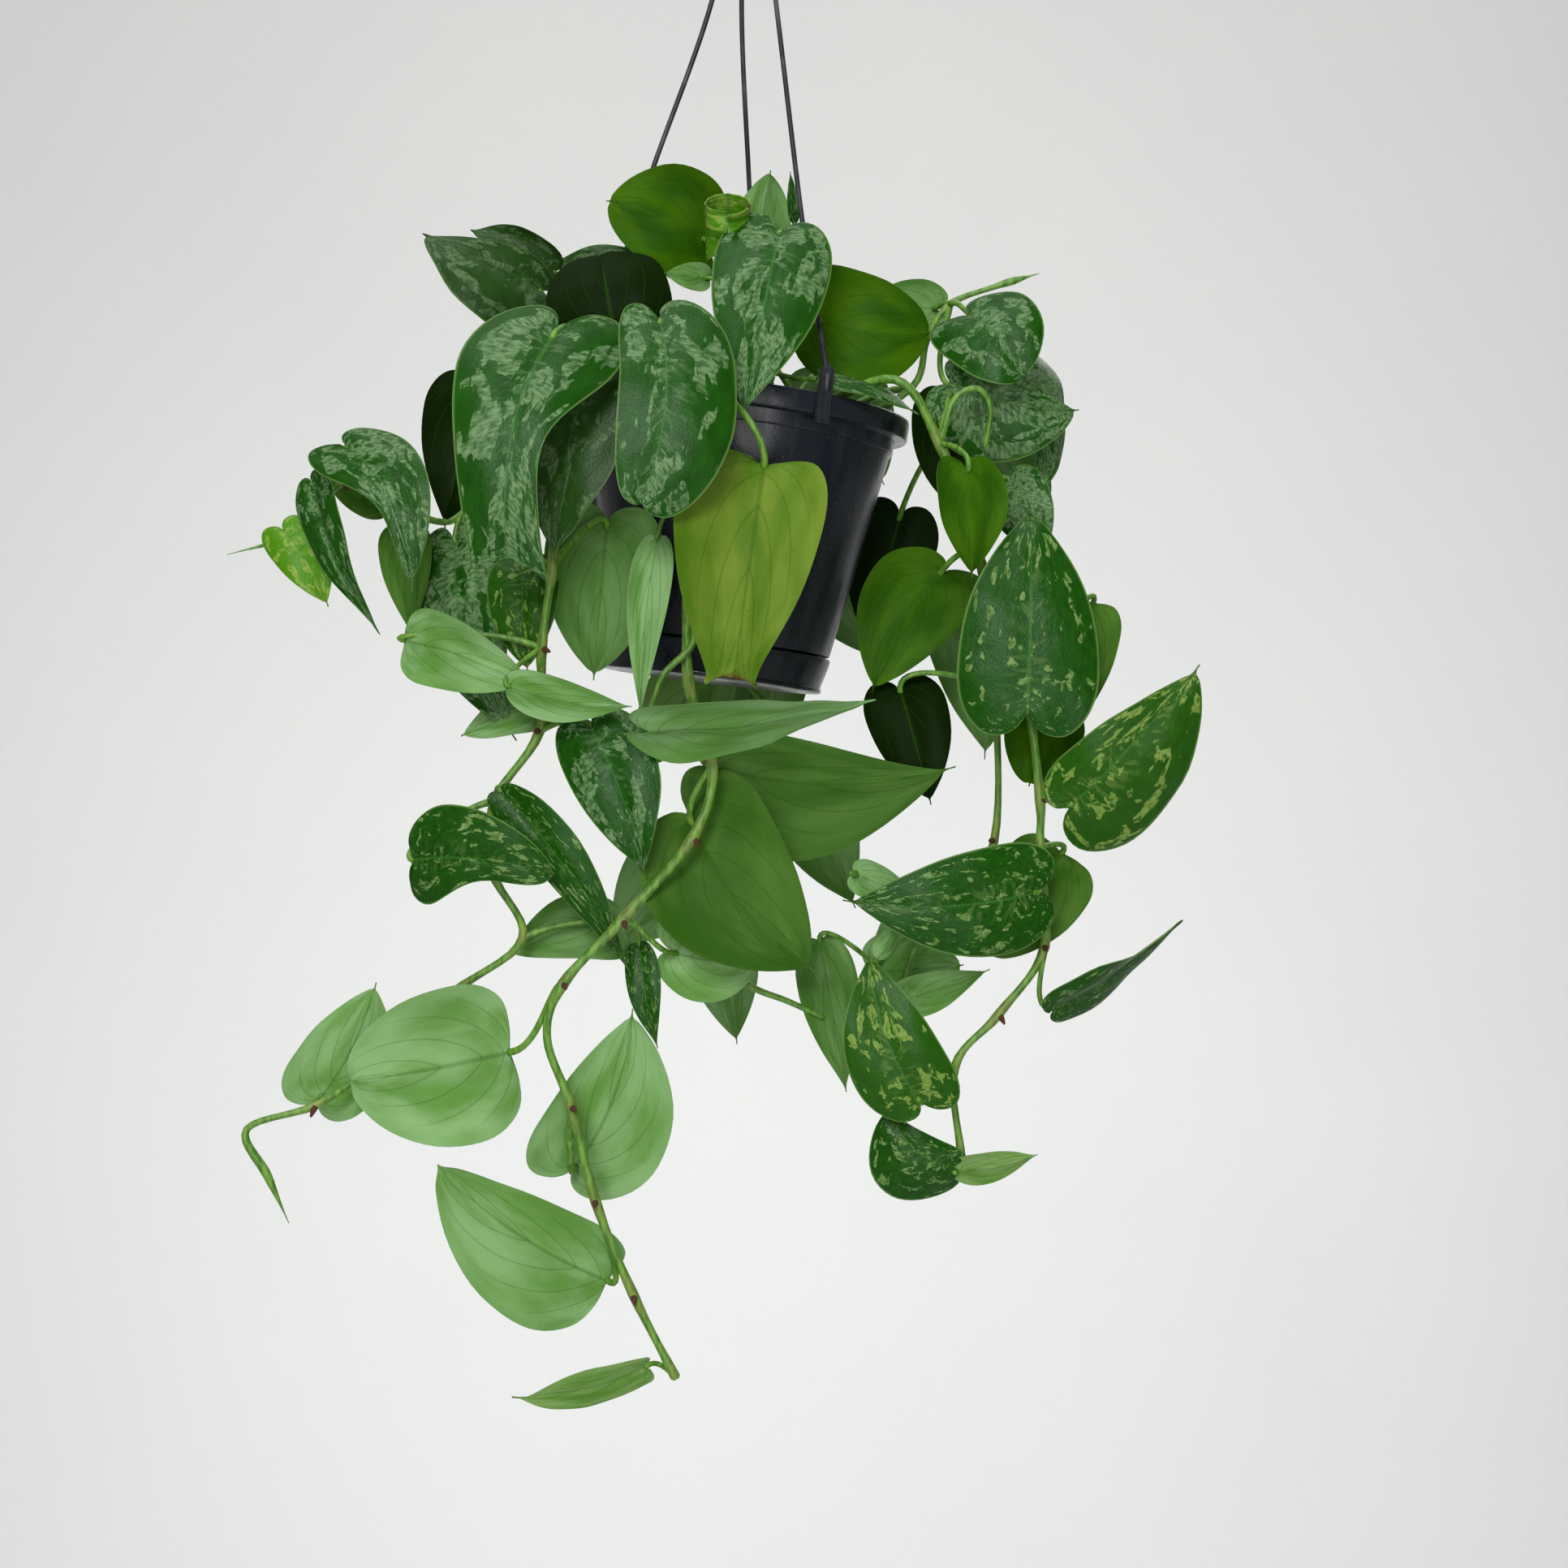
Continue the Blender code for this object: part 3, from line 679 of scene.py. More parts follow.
@dataclass(frozen=True)
class Leaf:
    """One blade, set from a joint of its vine.

    reach is the stalk's run right, back and up from the joint to the blade's foot. heading is the
    way the blade points seen from the front, in degrees: 0 down, 90 left, 180 up, 270 right. tilt
    leans the tip to the front in degrees. turn 0 shows the upper side to the front and 180 the
    underside. fold lifts each half in degrees, arch bows the midrib to the upper side and sway
    bows it sideways in millimetres, twist turns the tip in degrees, and lean makes one half wider
    than the other. waist draws in one half's middle, curl rolls the blade round its midrib with
    that radius, and cup is how far the margins droop as a share of the width. stations and halves
    set how fine the mesh is, swell is the height of its soft lumps, and thick and thin are the
    blade's thickness at the midrib and at the margin in millimetres.
    """

    name: str
    joint: int
    reach: Point
    heading: float
    tilt: float
    length: float
    width: float
    turn: float = 0.0
    fold: float = 10.0
    arch: float = 5.0
    sway: float = 0.0
    twist: float = 0.0
    lean: float = 0.0
    look: Look = Look.MIXED
    outline: Outline = Outline.HEART
    waist: float = 0.0
    curl: float = 0.0
    stations: int = 4
    halves: int = 9
    swell: float = 1.9
    thick: float = 0.55
    thin: float = 0.22
    cup: float = 0.18
    waist_at: float = 0.58
    waist_reach: float = 0.16
    stalked: bool = True
    root: Point = (0.0, 0.0, 0.0)

    @property
    def foot(self) -> Vector:
        """The blade's foot, where its stalk ends."""
        return Vector(self.root) + Vector(self.reach)

    def axes(self) -> tuple[Vector, Vector, Vector]:
        """Return the unit axes along the midrib, across it and out of the upper side."""
        heading, tilt = math.radians(self.heading), math.radians(self.tilt)
        flat = math.cos(tilt)
        along = Vector((-math.sin(heading) * flat, -math.sin(tilt), -math.cos(heading) * flat))
        face = Vector((0.0, -1.0, 0.0))
        face = (face - along * face.dot(along)).normalized()
        face = Quaternion(along, math.radians(self.turn)) @ face
        return along, face.cross(along).normalized(), face

    def spot(self, s: float, t: float, wave: float) -> Vector:
        """Return the place of a point of the flat blade once it is folded and bowed.

        Args:
            s: Distance along the midrib, mm.
            t: Distance across it, mm.
            wave: Lift of the rippled margin, mm.

        Returns:
            The point, mm.
        """
        along, across, face = self.axes()
        share = s / self.length
        bow = 4.0 * share * (1.0 - share)
        lift = math.radians(self.fold)
        over = t * math.cos(lift)
        rise = abs(t) * math.sin(lift) - self.cup * self.width * (2.0 * t / self.width) ** 2 + wave
        if self.curl:
            over = self.curl * math.sin(t / self.curl)
            rise = self.curl * (1 - math.cos(t / self.curl)) + wave
        roll = math.radians(self.twist) * (share - 0.3)
        across_turned = across * math.cos(roll) + face * math.sin(roll)
        face_turned = face * math.cos(roll) - across * math.sin(roll)
        return (self.foot + along * s + across * (self.sway * bow) + face * (self.arch * bow)
                + across_turned * over + face_turned * rise)

    def grid(self) -> tuple[list[list[Vector]], list[float], list[float]]:
        """Lay out the blade's middle surface.

        Returns:
            Rows of points, the share along the midrib of each row and the side share of each column.
        """
        rng = random.Random(self.name)
        phase = rng.uniform(0, 6.28)
        waves = rng.uniform(1.6, 2.8)
        ripple = self.width * rng.uniform(0.022, 0.045)
        drift = Vector((rng.uniform(0, 50), rng.uniform(0, 50), 0.0))
        ribs = smooth_path(self.outline.value, self.stations)
        sides = [math.sin(k / self.halves * math.pi / 2) for k in range(-self.halves, self.halves + 1)]
        rows = []
        for number, (start, angle, reach) in enumerate(ribs):
            a = math.radians(angle)
            share = number / (len(ribs) - 1)
            row = []
            for v in sides:
                lean = math.copysign(self.lean, v * self.lean)
                run = abs(v) * max(reach, 0.006) * self.width / 2 * (1 + lean)
                if v * self.waist > 0:
                    run *= 1 - abs(self.waist) * math.exp(-((share - self.waist_at) / self.waist_reach) ** 2)
                s = start * self.length + run * math.cos(a)
                t = math.copysign(run * math.sin(a), v)
                side_phase = phase + (0.0 if v > 0 else 2.1)
                wave = ripple * v * v * math.sin(2 * math.pi * waves * share + side_phase) * (1 - 0.5 * share)
                wave += self.swell * noise.noise(Vector((s / 21, t / 15, 0.0)) + drift)
                row.append(self.spot(s, t, wave))
            rows.append(row)
        return rows, [n / (len(ribs) - 1) for n in range(len(ribs))], sides

    def build(self) -> bpy.types.Object:
        """Build the blade as a closed shell: upper side, ribbed underside and thin margin."""
        rows, shares, sides = self.grid()
        high, wide = len(rows), len(sides)
        mid = wide // 2
        top, low, uvs = [], [], []
        for i, row in enumerate(rows):
            for j, point in enumerate(row):
                down = rows[min(i + 1, high - 1)][j] - rows[max(i - 1, 0)][j]
                over = row[min(j + 1, wide - 1)] - row[max(j - 1, 0)]
                if j == mid and i < 4:
                    over = row[mid + 2] - row[mid - 2]
                normal = over.cross(down).normalized()
                if normal.dot(self.axes()[2]) < 0 and abs(self.twist) < 60:
                    normal = -normal
                edge = max(abs(sides[j]), 1.0 if i == 0 else 0.0)
                half = (self.thin + (self.thick - self.thin) * (1 - edge ** 3)) / 2
                rib = math.exp(-(sides[j] / 0.05) ** 2) * (1 - 0.7 * shares[i])
                top.append(point + normal * (half - 0.25 * rib))
                low.append(point - normal * (half + 0.60 * rib))
                uvs.append((shares[i], sides[j] / 2 + 0.5))
        count = high * wide
        faces, slots = [], []
        for i in range(high - 1):
            for j in range(wide - 1):
                k = i * wide + j
                faces.append((k, k + wide, k + wide + 1, k + 1))
                faces.append((count + k, count + k + 1, count + k + wide + 1, count + k + wide))
                slots += [0, 1]
        rim = list(range(wide)) + [i * wide + wide - 1 for i in range(1, high)]
        rim += [(high - 1) * wide + j for j in range(wide - 2, -1, -1)]
        rim += [i * wide for i in range(high - 2, 0, -1)]
        for a, b in zip(rim, rim[1:] + rim[:1]):
            faces.append((a, b, count + b, count + a))
            slots.append(0)
        mesh = bpy.data.meshes.new(self.name)
        mesh.from_pydata([p * MM for p in top + low], [], faces)
        mesh.polygons.foreach_set("material_index", slots)
        self.dress(mesh, uvs * 2)
        work = bmesh.new()
        work.from_mesh(mesh)
        bmesh.ops.recalc_face_normals(work, faces=work.faces)
        work.to_mesh(mesh)
        work.free()
        mesh.shade_smooth()
        mesh.set_sharp_from_angle(angle=math.radians(60))
        return place_piece(self.name, mesh, ["upper", "under"])

    def dress(self, mesh: bpy.types.Mesh, uvs: list[tuple[float, float]]) -> None:
        """Give the mesh the values that the leaf finishes read.

        Args:
            mesh: The blade's mesh.
            uvs: Share along and across for each point.
        """
        layer = mesh.uv_layers.new(name="blade")
        for loop in mesh.loops:
            layer.data[loop.index].uv = uvs[loop.vertex_index]
        look = self.look.value
        rng = random.Random(self.name + "_finish")
        count = len(uvs)
        cover = look.cover + rng.uniform(-0.05, 0.05)
        values = {
            "seed": [rng.uniform(0, 9)] * count,
            "cover": [cover + 0.30 * ease(along, 0.55, 1.0) for along, _ in uvs],
            "grain": [look.grain * rng.uniform(0.9, 1.1)] * count,
            "warm": [look.warm] * count,
            "young": [look.young] * count,
            # The darkening share stored below is painted shade.
            "dull": [look.dull] * count,
            "shade": [min(max(look.shade + rng.uniform(-0.1, 0.1), 0.0), 1.0)] * count,
            "burn": [look.burn * ease(along, 0.93, 0.99) for along, _ in uvs],
        }
        for name, numbers in values.items():
            mesh.attributes.new(name, "FLOAT", "POINT").data.foreach_set("value", numbers)

    def stalk(self) -> list[Vector]:
        """Return the middle line of the leaf's stalk, from its joint on the stem to the blade."""
        along, _, face = self.axes()
        root = Vector(self.root)
        end = self.foot - face * 0.7
        lead = (face * 0.55 + along * 0.8).normalized()
        reach = (end - root).length
        second = root.lerp(end, 0.3) + Vector((0, 0, 0.16 * reach))
        third = end - lead * min(0.4 * reach, 16.0)
        out = []
        for k in range(17):
            t = k / 16
            out.append(root * (1 - t) ** 3 + second * 3 * t * (1 - t) ** 2 + third * 3 * t * t * (1 - t)
                       + end * t ** 3)
        return out


@dataclass(frozen=True)
class Vine:
    """One trailing stem with its leaf stalks, air roots and leaves."""

    name: str
    root_r: float
    tip_r: float
    points: tuple[Point, ...]
    leaves: tuple[Leaf, ...]
    extras: tuple[Leaf, ...] = ()
    nubs: tuple[int, ...] = ()
    spear: float = 0.0
    twigs: tuple[tuple[Point, ...], ...] = ()
    steps: int = 7
    stalk_r: float = 1.35
    joint_swell: float = 0.34
    joint_reach: float = 1.6

    def rooted(self, leaf: Leaf) -> Leaf:
        """Return the leaf with its root at its joint on this stem."""
        return replace(leaf, root=self.points[leaf.joint])

    def build(self) -> None:
        """Build the stem and every leaf on it."""
        skin = Skin()
        path = smooth_path(self.points, self.steps)
        last = len(path) - 1
        joints = {leaf.joint for leaf in self.leaves} | set(self.nubs)
        leaves = [self.rooted(leaf) for leaf in self.leaves]
        extras = [self.rooted(leaf) for leaf in self.extras]
        radii, wear = [], []
        for i in range(last + 1):
            near = min((abs(i - j * self.steps) for j in joints), default=99)
            swell = math.exp(-(near / self.joint_reach) ** 2)
            radius = self.root_r + (self.tip_r - self.root_r) * i / last
            if self.spear:
                radius *= 1 + 0.6 * math.exp(-((i / last - self.spear) / 0.06) ** 2)
                radius *= 1 - 0.85 * ease(i / last, self.spear, 1.0)
            radii.append(radius * (0.92 + self.joint_swell * swell))
            wear.append(0.5 * swell)
        skin.tube(path, radii, 14, 0, wear)
        for leaf in leaves + extras:
            if not leaf.stalked:
                continue
            stalk = leaf.stalk()
            size = self.stalk_r * (0.62 + 0.38 * min(leaf.width / 50, 1.15))
            widths = [size * (1 + 0.30 * math.exp(-(k / 3.0) ** 2) + 0.12 * math.exp(-((16 - k) / 2) ** 2))
                      for k in range(17)]
            skin.tube(stalk, widths, 10)
        for twig in self.twigs:
            line = smooth_path(twig, 6)
            skin.tube(line, [self.tip_r * (0.95 - 0.3 * i / len(line)) for i in range(len(line))], 12)
        self.add_nubs(skin)
        stand_for(skin.piece(self.name + "_skin", ["stem", "nub"]), self.name)
        for leaf in leaves:
            blade = leaf.build()
            blade.name = leaf.name + "_blade"
            stand_for(blade, leaf.name)
        for leaf in extras:
            leaf.build()
            log.info("small leaf %s", leaf.name)

    def add_nubs(self, skin: Skin) -> None:
        """Add the short air roots at the joints.

        Args:
            skin: The stem's mesh so far.
        """
        rng = random.Random(self.name)
        for index in self.nubs:
            start = Vector(self.points[index])
            way = Vector((rng.uniform(-1, 1), -0.9, rng.uniform(-1.0, 0.3))).normalized()
            size = rng.uniform(4.6, 7.0)
            path = [start + way * size * k / 3 + Vector((0, 0, -0.25 * k * k / 3)) for k in range(4)]
            skin.tube(path, [1.7, 1.5, 1.1, 0.5], 8, 1)


V = Look  # Short, so that each leaf below fits on a line or two.
VINES = (
    Vine("stem_crown", 3.0, 2.0, ((-2, -8, -301), (-4, -12, -286), (-5, -14, -268)), (
        Leaf("crown_left", 1, (-14, 2, 62), 110, 10, 46, 50, 180, 10, -4, 3, look=V.OLIVE),
        Leaf("crown_rolled", 1, (-2, -18, 50), 180, 35, 30, 62, 0, 35, 0, look=V.YOUNG,
             outline=Outline.FUNNEL,
             curl=9.8),
        Leaf("crown_back_mid", 1, (10, 20, 62), 190, -5, 36, 34, 180, 35, 3, look=V.FRESH),
        Leaf("crown_front", 1, (20, -46, 55), 10, 20, 92, 52, 0, 12, 8, 0, 6, look=V.HEAVY),
        Leaf("crown_right", 1, (38, -18, 22), 275, -5, 50, 54, 180, 12, -6, 4, look=V.OLIVE),
    ), (
        Leaf("crown_thin", 2, (28, 14, 54), 175, 5, 22, 9, 0, 50, 1, look=V.FRESH, outline=Outline.SLIM),
        Leaf("crown_small", 2, (-11, -28, 21), 95, 10, 18, 13, 180, 14, -1, look=V.FRESH),
        Leaf("rim_strap", 1, (38, -44, -6), 290, -10, 46, 22, -62, 12, 3, look=V.HEAVY, outline=Outline.SLIM),
    )),
    Vine("stem_front", 2.3, 1.8, (
        (-5, -35, -300), (-5, -65, -285), (-12, -88, -300), (-18, -90, -340), (-22, -84, -390),
        (-22, -78, -425), (-12, -76, -460), (-20, -80, -490), (-50, -80, -525), (-75, -80, -552),
        (-82, -78, -575), (-72, -74, -605), (-62, -71, -645), (-46, -70, -685), (-28, -71, -720),
    ), (
        Leaf("front_yellow", 2, (22, -6, -35), 8, 5, 90, 64, 180, 8, -6, 0, 0, 0.1, V.YELLOW, Outline.CUT),
        Leaf("shoulder_mid", 1, (-28, -40, 8), 5, 12, 78, 54, 0, 12, 9, 6, -8, 0.2, V.HEAVY, Outline.SPOON),
        Leaf("under_wavy", 5, (-15, -25, -20), 262, -10, 96, 46, 240, 16, -7, -4, look=V.PALE, stalked=False),
        Leaf("under_right", 5, (10, 25, -35), 270, -15, 110, 56, 190, 10, -5, 7, 0, 0.25, V.MOSS),
        Leaf("under_olive", 6, (-8, 10, -26), 320, 5, 80, 66, 180, 8, -6, 6, look=V.OLIVE),
        Leaf("low_round", 9, (-24, 12, -30), 80, 5, 68, 70, 176, 8, -7, look=V.PALE, outline=Outline.ROUND),
        Leaf("low_behind_stem", 11, (0, 25, -28), 200, 0, 72, 56, 184, 10, -6, 5, 0, 0.1, V.PALE),
        Leaf("low_leaf", 12, (4, 14, -36), 125, 5, 88, 54, 180, 8, -6, -4, 0, -0.2, V.PALE, Outline.ROUND),
        Leaf("low_edge", 14, (-13, 8, 2), 80, 10, 58, 30, 246, 18, 3, -2, look=V.LIT, outline=Outline.SLIM),
    ), (
        Leaf("narrow_pale", 3, (-17, 6, -24), 5, 5, 78, 20, 176, 14, -5, 2, look=V.PALE,
             outline=Outline.SLIM),
        Leaf("low_mid_pale_b", 8, (22, 18, -15), 270, -15, 42, 38, 186, 12, -4, 3, look=V.PALE),
        Leaf("low_dark_narrow", 8, (6, 22, -12), 350, 0, 45, 18, 10, 24, 4, look=V.SPECKLED,
             outline=Outline.SLIM),
    ), (3, 4, 7, 8, 9, 11, 12, 13), twigs=(
        ((-22, -84, -392), (-20, -84, -408), (-32, -84, -421), (-37, -86, -434), (-37, -103, -445)),
        ((-14, -62, -536), (2, -50, -554), (20, -46, -562), (35, -44, -569)),
    )),
    Vine("stem_left", 2.2, 1.3, (
        (-32, -28, -298), (-58, -58, -282), (-75, -72, -328), (-80, -74, -375), (-85, -70, -410),
        (-87, -58, -445), (-106, -60, -475), (-107, -60, -505), (-94, -60, -534), (-125, -58, -558),
        (-160, -58, -590), (-182, -66, -605), (-211, -68, -615), (-202, -68, -635), (-193, -68, -655),
    ), (
        Leaf("crown_olive", 1, (2, 22, 12), 170, -20, 40, 56, 180, 8, -6, look=V.SHADED),
        Leaf("shoulder_left", 1, (-20, -42, 0), 10, 10, 98, 66, 0, 10, 14, -7, 6, 0.0, V.HEAVY, Outline.BLUNT,
             waist=0.42),
        Leaf("shoulder_behind", 1, (-6, -24, -14), 10, 5, 80, 50, 24, 10, 6, look=V.DULL),
        Leaf("left_shade_big", 3, (22, 18, 18), 5, 0, 66, 52, 180, 10, -3, look=V.FRESH),
        Leaf("under_left_var", 5, (24, -13, 0), 340, 5, 66, 42, 10, 14, 7, 4, look=V.MIXED),
        Leaf("spotted_left", 6, (-33, -16, -25), 275, 10, 62, 47, 10, 14, 8, 5, look=V.SPECKLED,
             outline=Outline.ROUND, waist=-0.5),
        Leaf("low_mid_pale", 8, (38, 10, 4), 75, -5, 48, 32, 200, 14, -4, 4, look=V.FRESH),
        Leaf("low_far_left", 11, (0, 18, 2), 205, -5, 54, 42, 172, 10, -4, 4, look=V.PALE),
    ), (
        Leaf("left_pale_flat", 4, (-58, 4, 4), 290, 15, 58, 36, 202, 12, -4, -3, look=V.PALE,
             outline=Outline.ROUND),
        Leaf("left_pale_flat_b", 4, (-12, -10, -16), 280, 5, 52, 22, 196, 12, -3, 2, look=V.PALE,
             outline=Outline.SLIM),
        Leaf("under_dark_narrow", 6, (4, -14, 4), 325, -5, 96, 27, 14, 18, 7, 7, look=V.SPECKLED,
             outline=Outline.SLIM),
        Leaf("left_pale_low", 5, (-2, 8, 10), 70, -5, 35, 26, 214, 12, -3, look=V.PALE),
        Leaf("left_mottled", 3, (-14, 16, 0), 357, 5, 45, 33, 6, 14, 5, look=V.LIME),
    ), (4, 5, 6, 7, 9, 11), 0.92),
    Vine("stem_farleft", 2.0, 1.1, (
        (-40, 2, -298), (-76, -10, -275), (-102, -18, -306), (-124, -26, -348), (-142, -34, -350),
        (-160, -40, -340), (-173, -42, -336), (-184, -38, -346), (-195, -34, -358), (-226, -34, -367),
    ), (
        Leaf("left_top_long", 1, (-14, -14, 26), 115, 10, 56, 44, 30, 25, 6, 3, 0, 0.4, V.DULL),
        Leaf("left_grey_big", 3, (-2, -12, -14), 342, 8, 92, 50, 20, 14, 8, -4, look=V.SILVER),
        Leaf("farleft_silver", 5, (-8, -27, 16), 335, 10, 70, 42, 0, 14, 10, 9, look=V.HEAVY, waist=-0.55),
        Leaf("farleft_folded", 7, (-2, -12, 8), 335, 5, 72, 26, 34, 25, 5, look=V.MIXED),
        Leaf("farleft_young", 8, (-5, -4, 1), 330, 0, 38, 26, 0, 14, 3, 2, look=V.YOUNG),
    ), (
        Leaf("left_top_narrow", 1, (-9, 6, 38), 115, 10, 41, 26, 20, 10, 3, look=V.DULL, outline=Outline.SLIM,
             curl=6.5),
        Leaf("left_top_grey", 1, (30, 4, 33), 105, -10, 41, 28, 10, 24, 3, look=V.DULL),
        Leaf("farleft_olive", 5, (2, 4, -5), 115, -10, 30, 18, 180, 14, -2, look=V.OLIVE),
        Leaf("left_olive_low", 4, (-6, 0, -7), 355, 10, 48, 24, 180, 12, -3, look=V.OLIVE),
        Leaf("behind_left_dark", 2, (-18, 0, 14), 10, 10, 66, 40, 176, 14, -4, look=V.SHADED),
        Leaf("side_left_fill", 1, (6, 30, -16), 40, -5, 68, 44, 110, 12, 8),
        Leaf("side_left_low", 2, (40, 46, -20), 20, -5, 72, 46, 120, 12, 8),
    ), (2, 4, 6), 0.90),
    Vine("stem_right_front", 2.2, 1.6, (
        (26, -30, -305), (66, -48, -292), (86, -46, -320), (98, -48, -355), (110, -52, -388),
        (123, -52, -428), (129, -52, -474), (129, -52, -496), (131, -52, -538), (111, -54, -567),
        (92, -54, -590), (95, -54, -630),
    ), (
        Leaf("right_bright", 2, (11, -16, -13), 358, 2, 46, 34, 160, 14, -4, look=V.OLIVE),
        Leaf("right_spotted", 5, (-1, -20, -6), 182, -15, 90, 62, 0, 10, 8, look=V.SPECKLED),
        Leaf("right_far", 6, (13, -10, -2), 222, 5, 80, 52, 10, 8, 7, 0, 0, -0.3, V.LIME),
        Leaf("right_dark_flat", 7, (-4, -18, -18), 88, 5, 82, 48, 0, 10, 8, 4, look=V.SPECKLED),
        Leaf("right_behind", 7, (11, 18, -2), 35, 5, 55, 44, 180, 8, -5, look=V.MOSS, outline=Outline.ROUND),
        Leaf("right_twisted", 8, (3, -2, -27), 235, 5, 68, 32, 56, 20, 4, 4, 34, look=V.SPECKLED,
             outline=Outline.SLIM),
        Leaf("low_right_spotted", 10, (-17, -20, -11), 162, -5, 66, 43, 0, 14, 7, 5, look=V.LIME),
        Leaf("low_right_small", 11, (-7, -8, -1), 135, -5, 34, 34, 0, 12, 4, 5, 0, 0.4, V.SPECKLED),
    ), (
        Leaf("right_bright_behind", 5, (32, 28, 40), 12, 8, 60, 30, 180, 12, -3, look=V.OLIVE,
             outline=Outline.ROUND),
        Leaf("right_olive_mid", 5, (11, 22, -9), 15, 10, 33, 36, 180, 10, -3, look=V.OLIVE),
        Leaf("right_dark_fill", 2, (6, 26, 22), 5, 0, 44, 34, 180, 12, -3, look=V.SHADED),
        Leaf("right_folded", 3, (20, 18, 20), 335, 8, 36, 30, 6, 16, 4, look=V.SILVER),
        Leaf("low_right_edge", 11, (-3, -6, -4), 257, 5, 36, 18, 200, 20, -3, look=V.LIT,
             outline=Outline.SLIM),
    ), (3, 6, 8, 9), twigs=(
        ((86, -46, -320), (92, -48, -301), (102, -48, -296), (108, -46, -304), (106, -42, -320)),
    )),
    Vine("stem_right_back", 2.0, 1.3, (
        (30, 12, -305), (73, 20, -287), (90, 8, -312), (104, -20, -363), (112, -16, -425), (112, -14, -493),
        (92, -16, -522), (77, -18, -540), (70, -20, -560),
    ), (
        Leaf("right_hanging", 2, (38, -4, 36), 355, 10, 64, 42, -45, 14, 6, look=V.SILVER),
        Leaf("pot_side_dark", 2, (-18, 38, -32), 15, -5, 60, 42, 180, 8, -4, look=V.SHADED),
        Leaf("pot_side_olive", 3, (-16, 10, -11), 30, 10, 62, 48, 180, 8, -5, 5, look=V.OLIVE),
        Leaf("right_pale_low", 6, (-31, 12, -30), 265, 5, 38, 36, 180, 10, -4, look=V.PALE),
    ), (
        Leaf("right_dark_mid", 4, (-42, 0, -2), 345, 10, 52, 38, 176, 12, -4, look=V.SHADED),
        Leaf("right_pale_low_b", 8, (1, -14, -2), 250, 10, 40, 20, 190, 16, -3, look=V.PALE),
        Leaf("right_grey_low", 8, (-36, -16, 23), 350, 5, 66, 29, 178, 12, -4, look=V.FRESH,
             outline=Outline.SLIM),
        Leaf("right_pale_slip", 6, (-42, -34, 15), 290, 5, 28, 17, 186, 12, -2, look=V.PALE),
        Leaf("right_curl", 7, (-11, -32, 10), 30, 10, 16, 16, 170, 10, -2, look=V.PALE, curl=5.0),
        Leaf("side_right_fill", 2, (22, 26, 12), 340, -10, 65, 46, 220, 12, 8),
        Leaf("side_right_low", 4, (-12, 42, 33), 350, -10, 66, 44, 210, 12, 8),
    ), (4, 5)),
    Vine("stem_right_top", 1.9, 1.1, (
        (48, -10, -308), (76, -14, -290), (82, -14, -270), (92, -14, -254), (112, -14, -246),
        (132, -14, -240),
    ), (
        Leaf("right_top_round", 3, (9, -26, -10), 325, 15, 36, 46, 0, 14, 5, 3, look=V.HEAVY),
        Leaf("right_silver", 3, (2, -12, -38), 280, -5, 56, 44, 0, 16, 6, -4, 0, -0.3, V.SILVER),
    ), (
        Leaf("right_top_small", 3, (-6, 16, 1), 95, -20, 35, 26, 180, 14, -3, look=V.FRESH),
    ), spear=0.88),
    Vine("stem_back", 2.0, 1.2, (
        (14, 30, -303), (24, 68, -285), (28, 86, -308), (24, 88, -360), (10, 88, -430), (-6, 85, -490),
        (-16, 86, -540),
    ), (
        Leaf("back_high", 1, (14, 16, 13), 330, -15, 60, 52, 180, 10, 8),
        Leaf("back_left", 2, (-72, 12, 8), 30, -5, 76, 54, 180, 10, 8, look=V.HEAVY),
        Leaf("back_mid", 3, (-18, 14, -36), 8, -5, 74, 56, 180, 10, 9),
        Leaf("back_low", 5, (-18, 13, -8), 40, 0, 64, 50, 180, 10, 8, look=V.HEAVY),
    ), (
        Leaf("back_crown", 1, (-24, -8, 23), 45, -25, 54, 46, 180, 12, 7, look=V.HEAVY),
        Leaf("back_right_low", 3, (10, 12, 8), 330, -5, 65, 46, 180, 12, 7),
        Leaf("back_mid_left", 4, (-30, 10, 18), 35, -5, 62, 42, 180, 12, 7, look=V.SPECKLED),
        Leaf("back_mid_right", 5, (32, 11, 20), 335, -5, 64, 42, 180, 12, 7),
        Leaf("back_tail", 6, (2, 10, 0), 350, -5, 55, 36, 180, 12, 6, look=V.HEAVY),
    ), (2, 4, 5)),
)


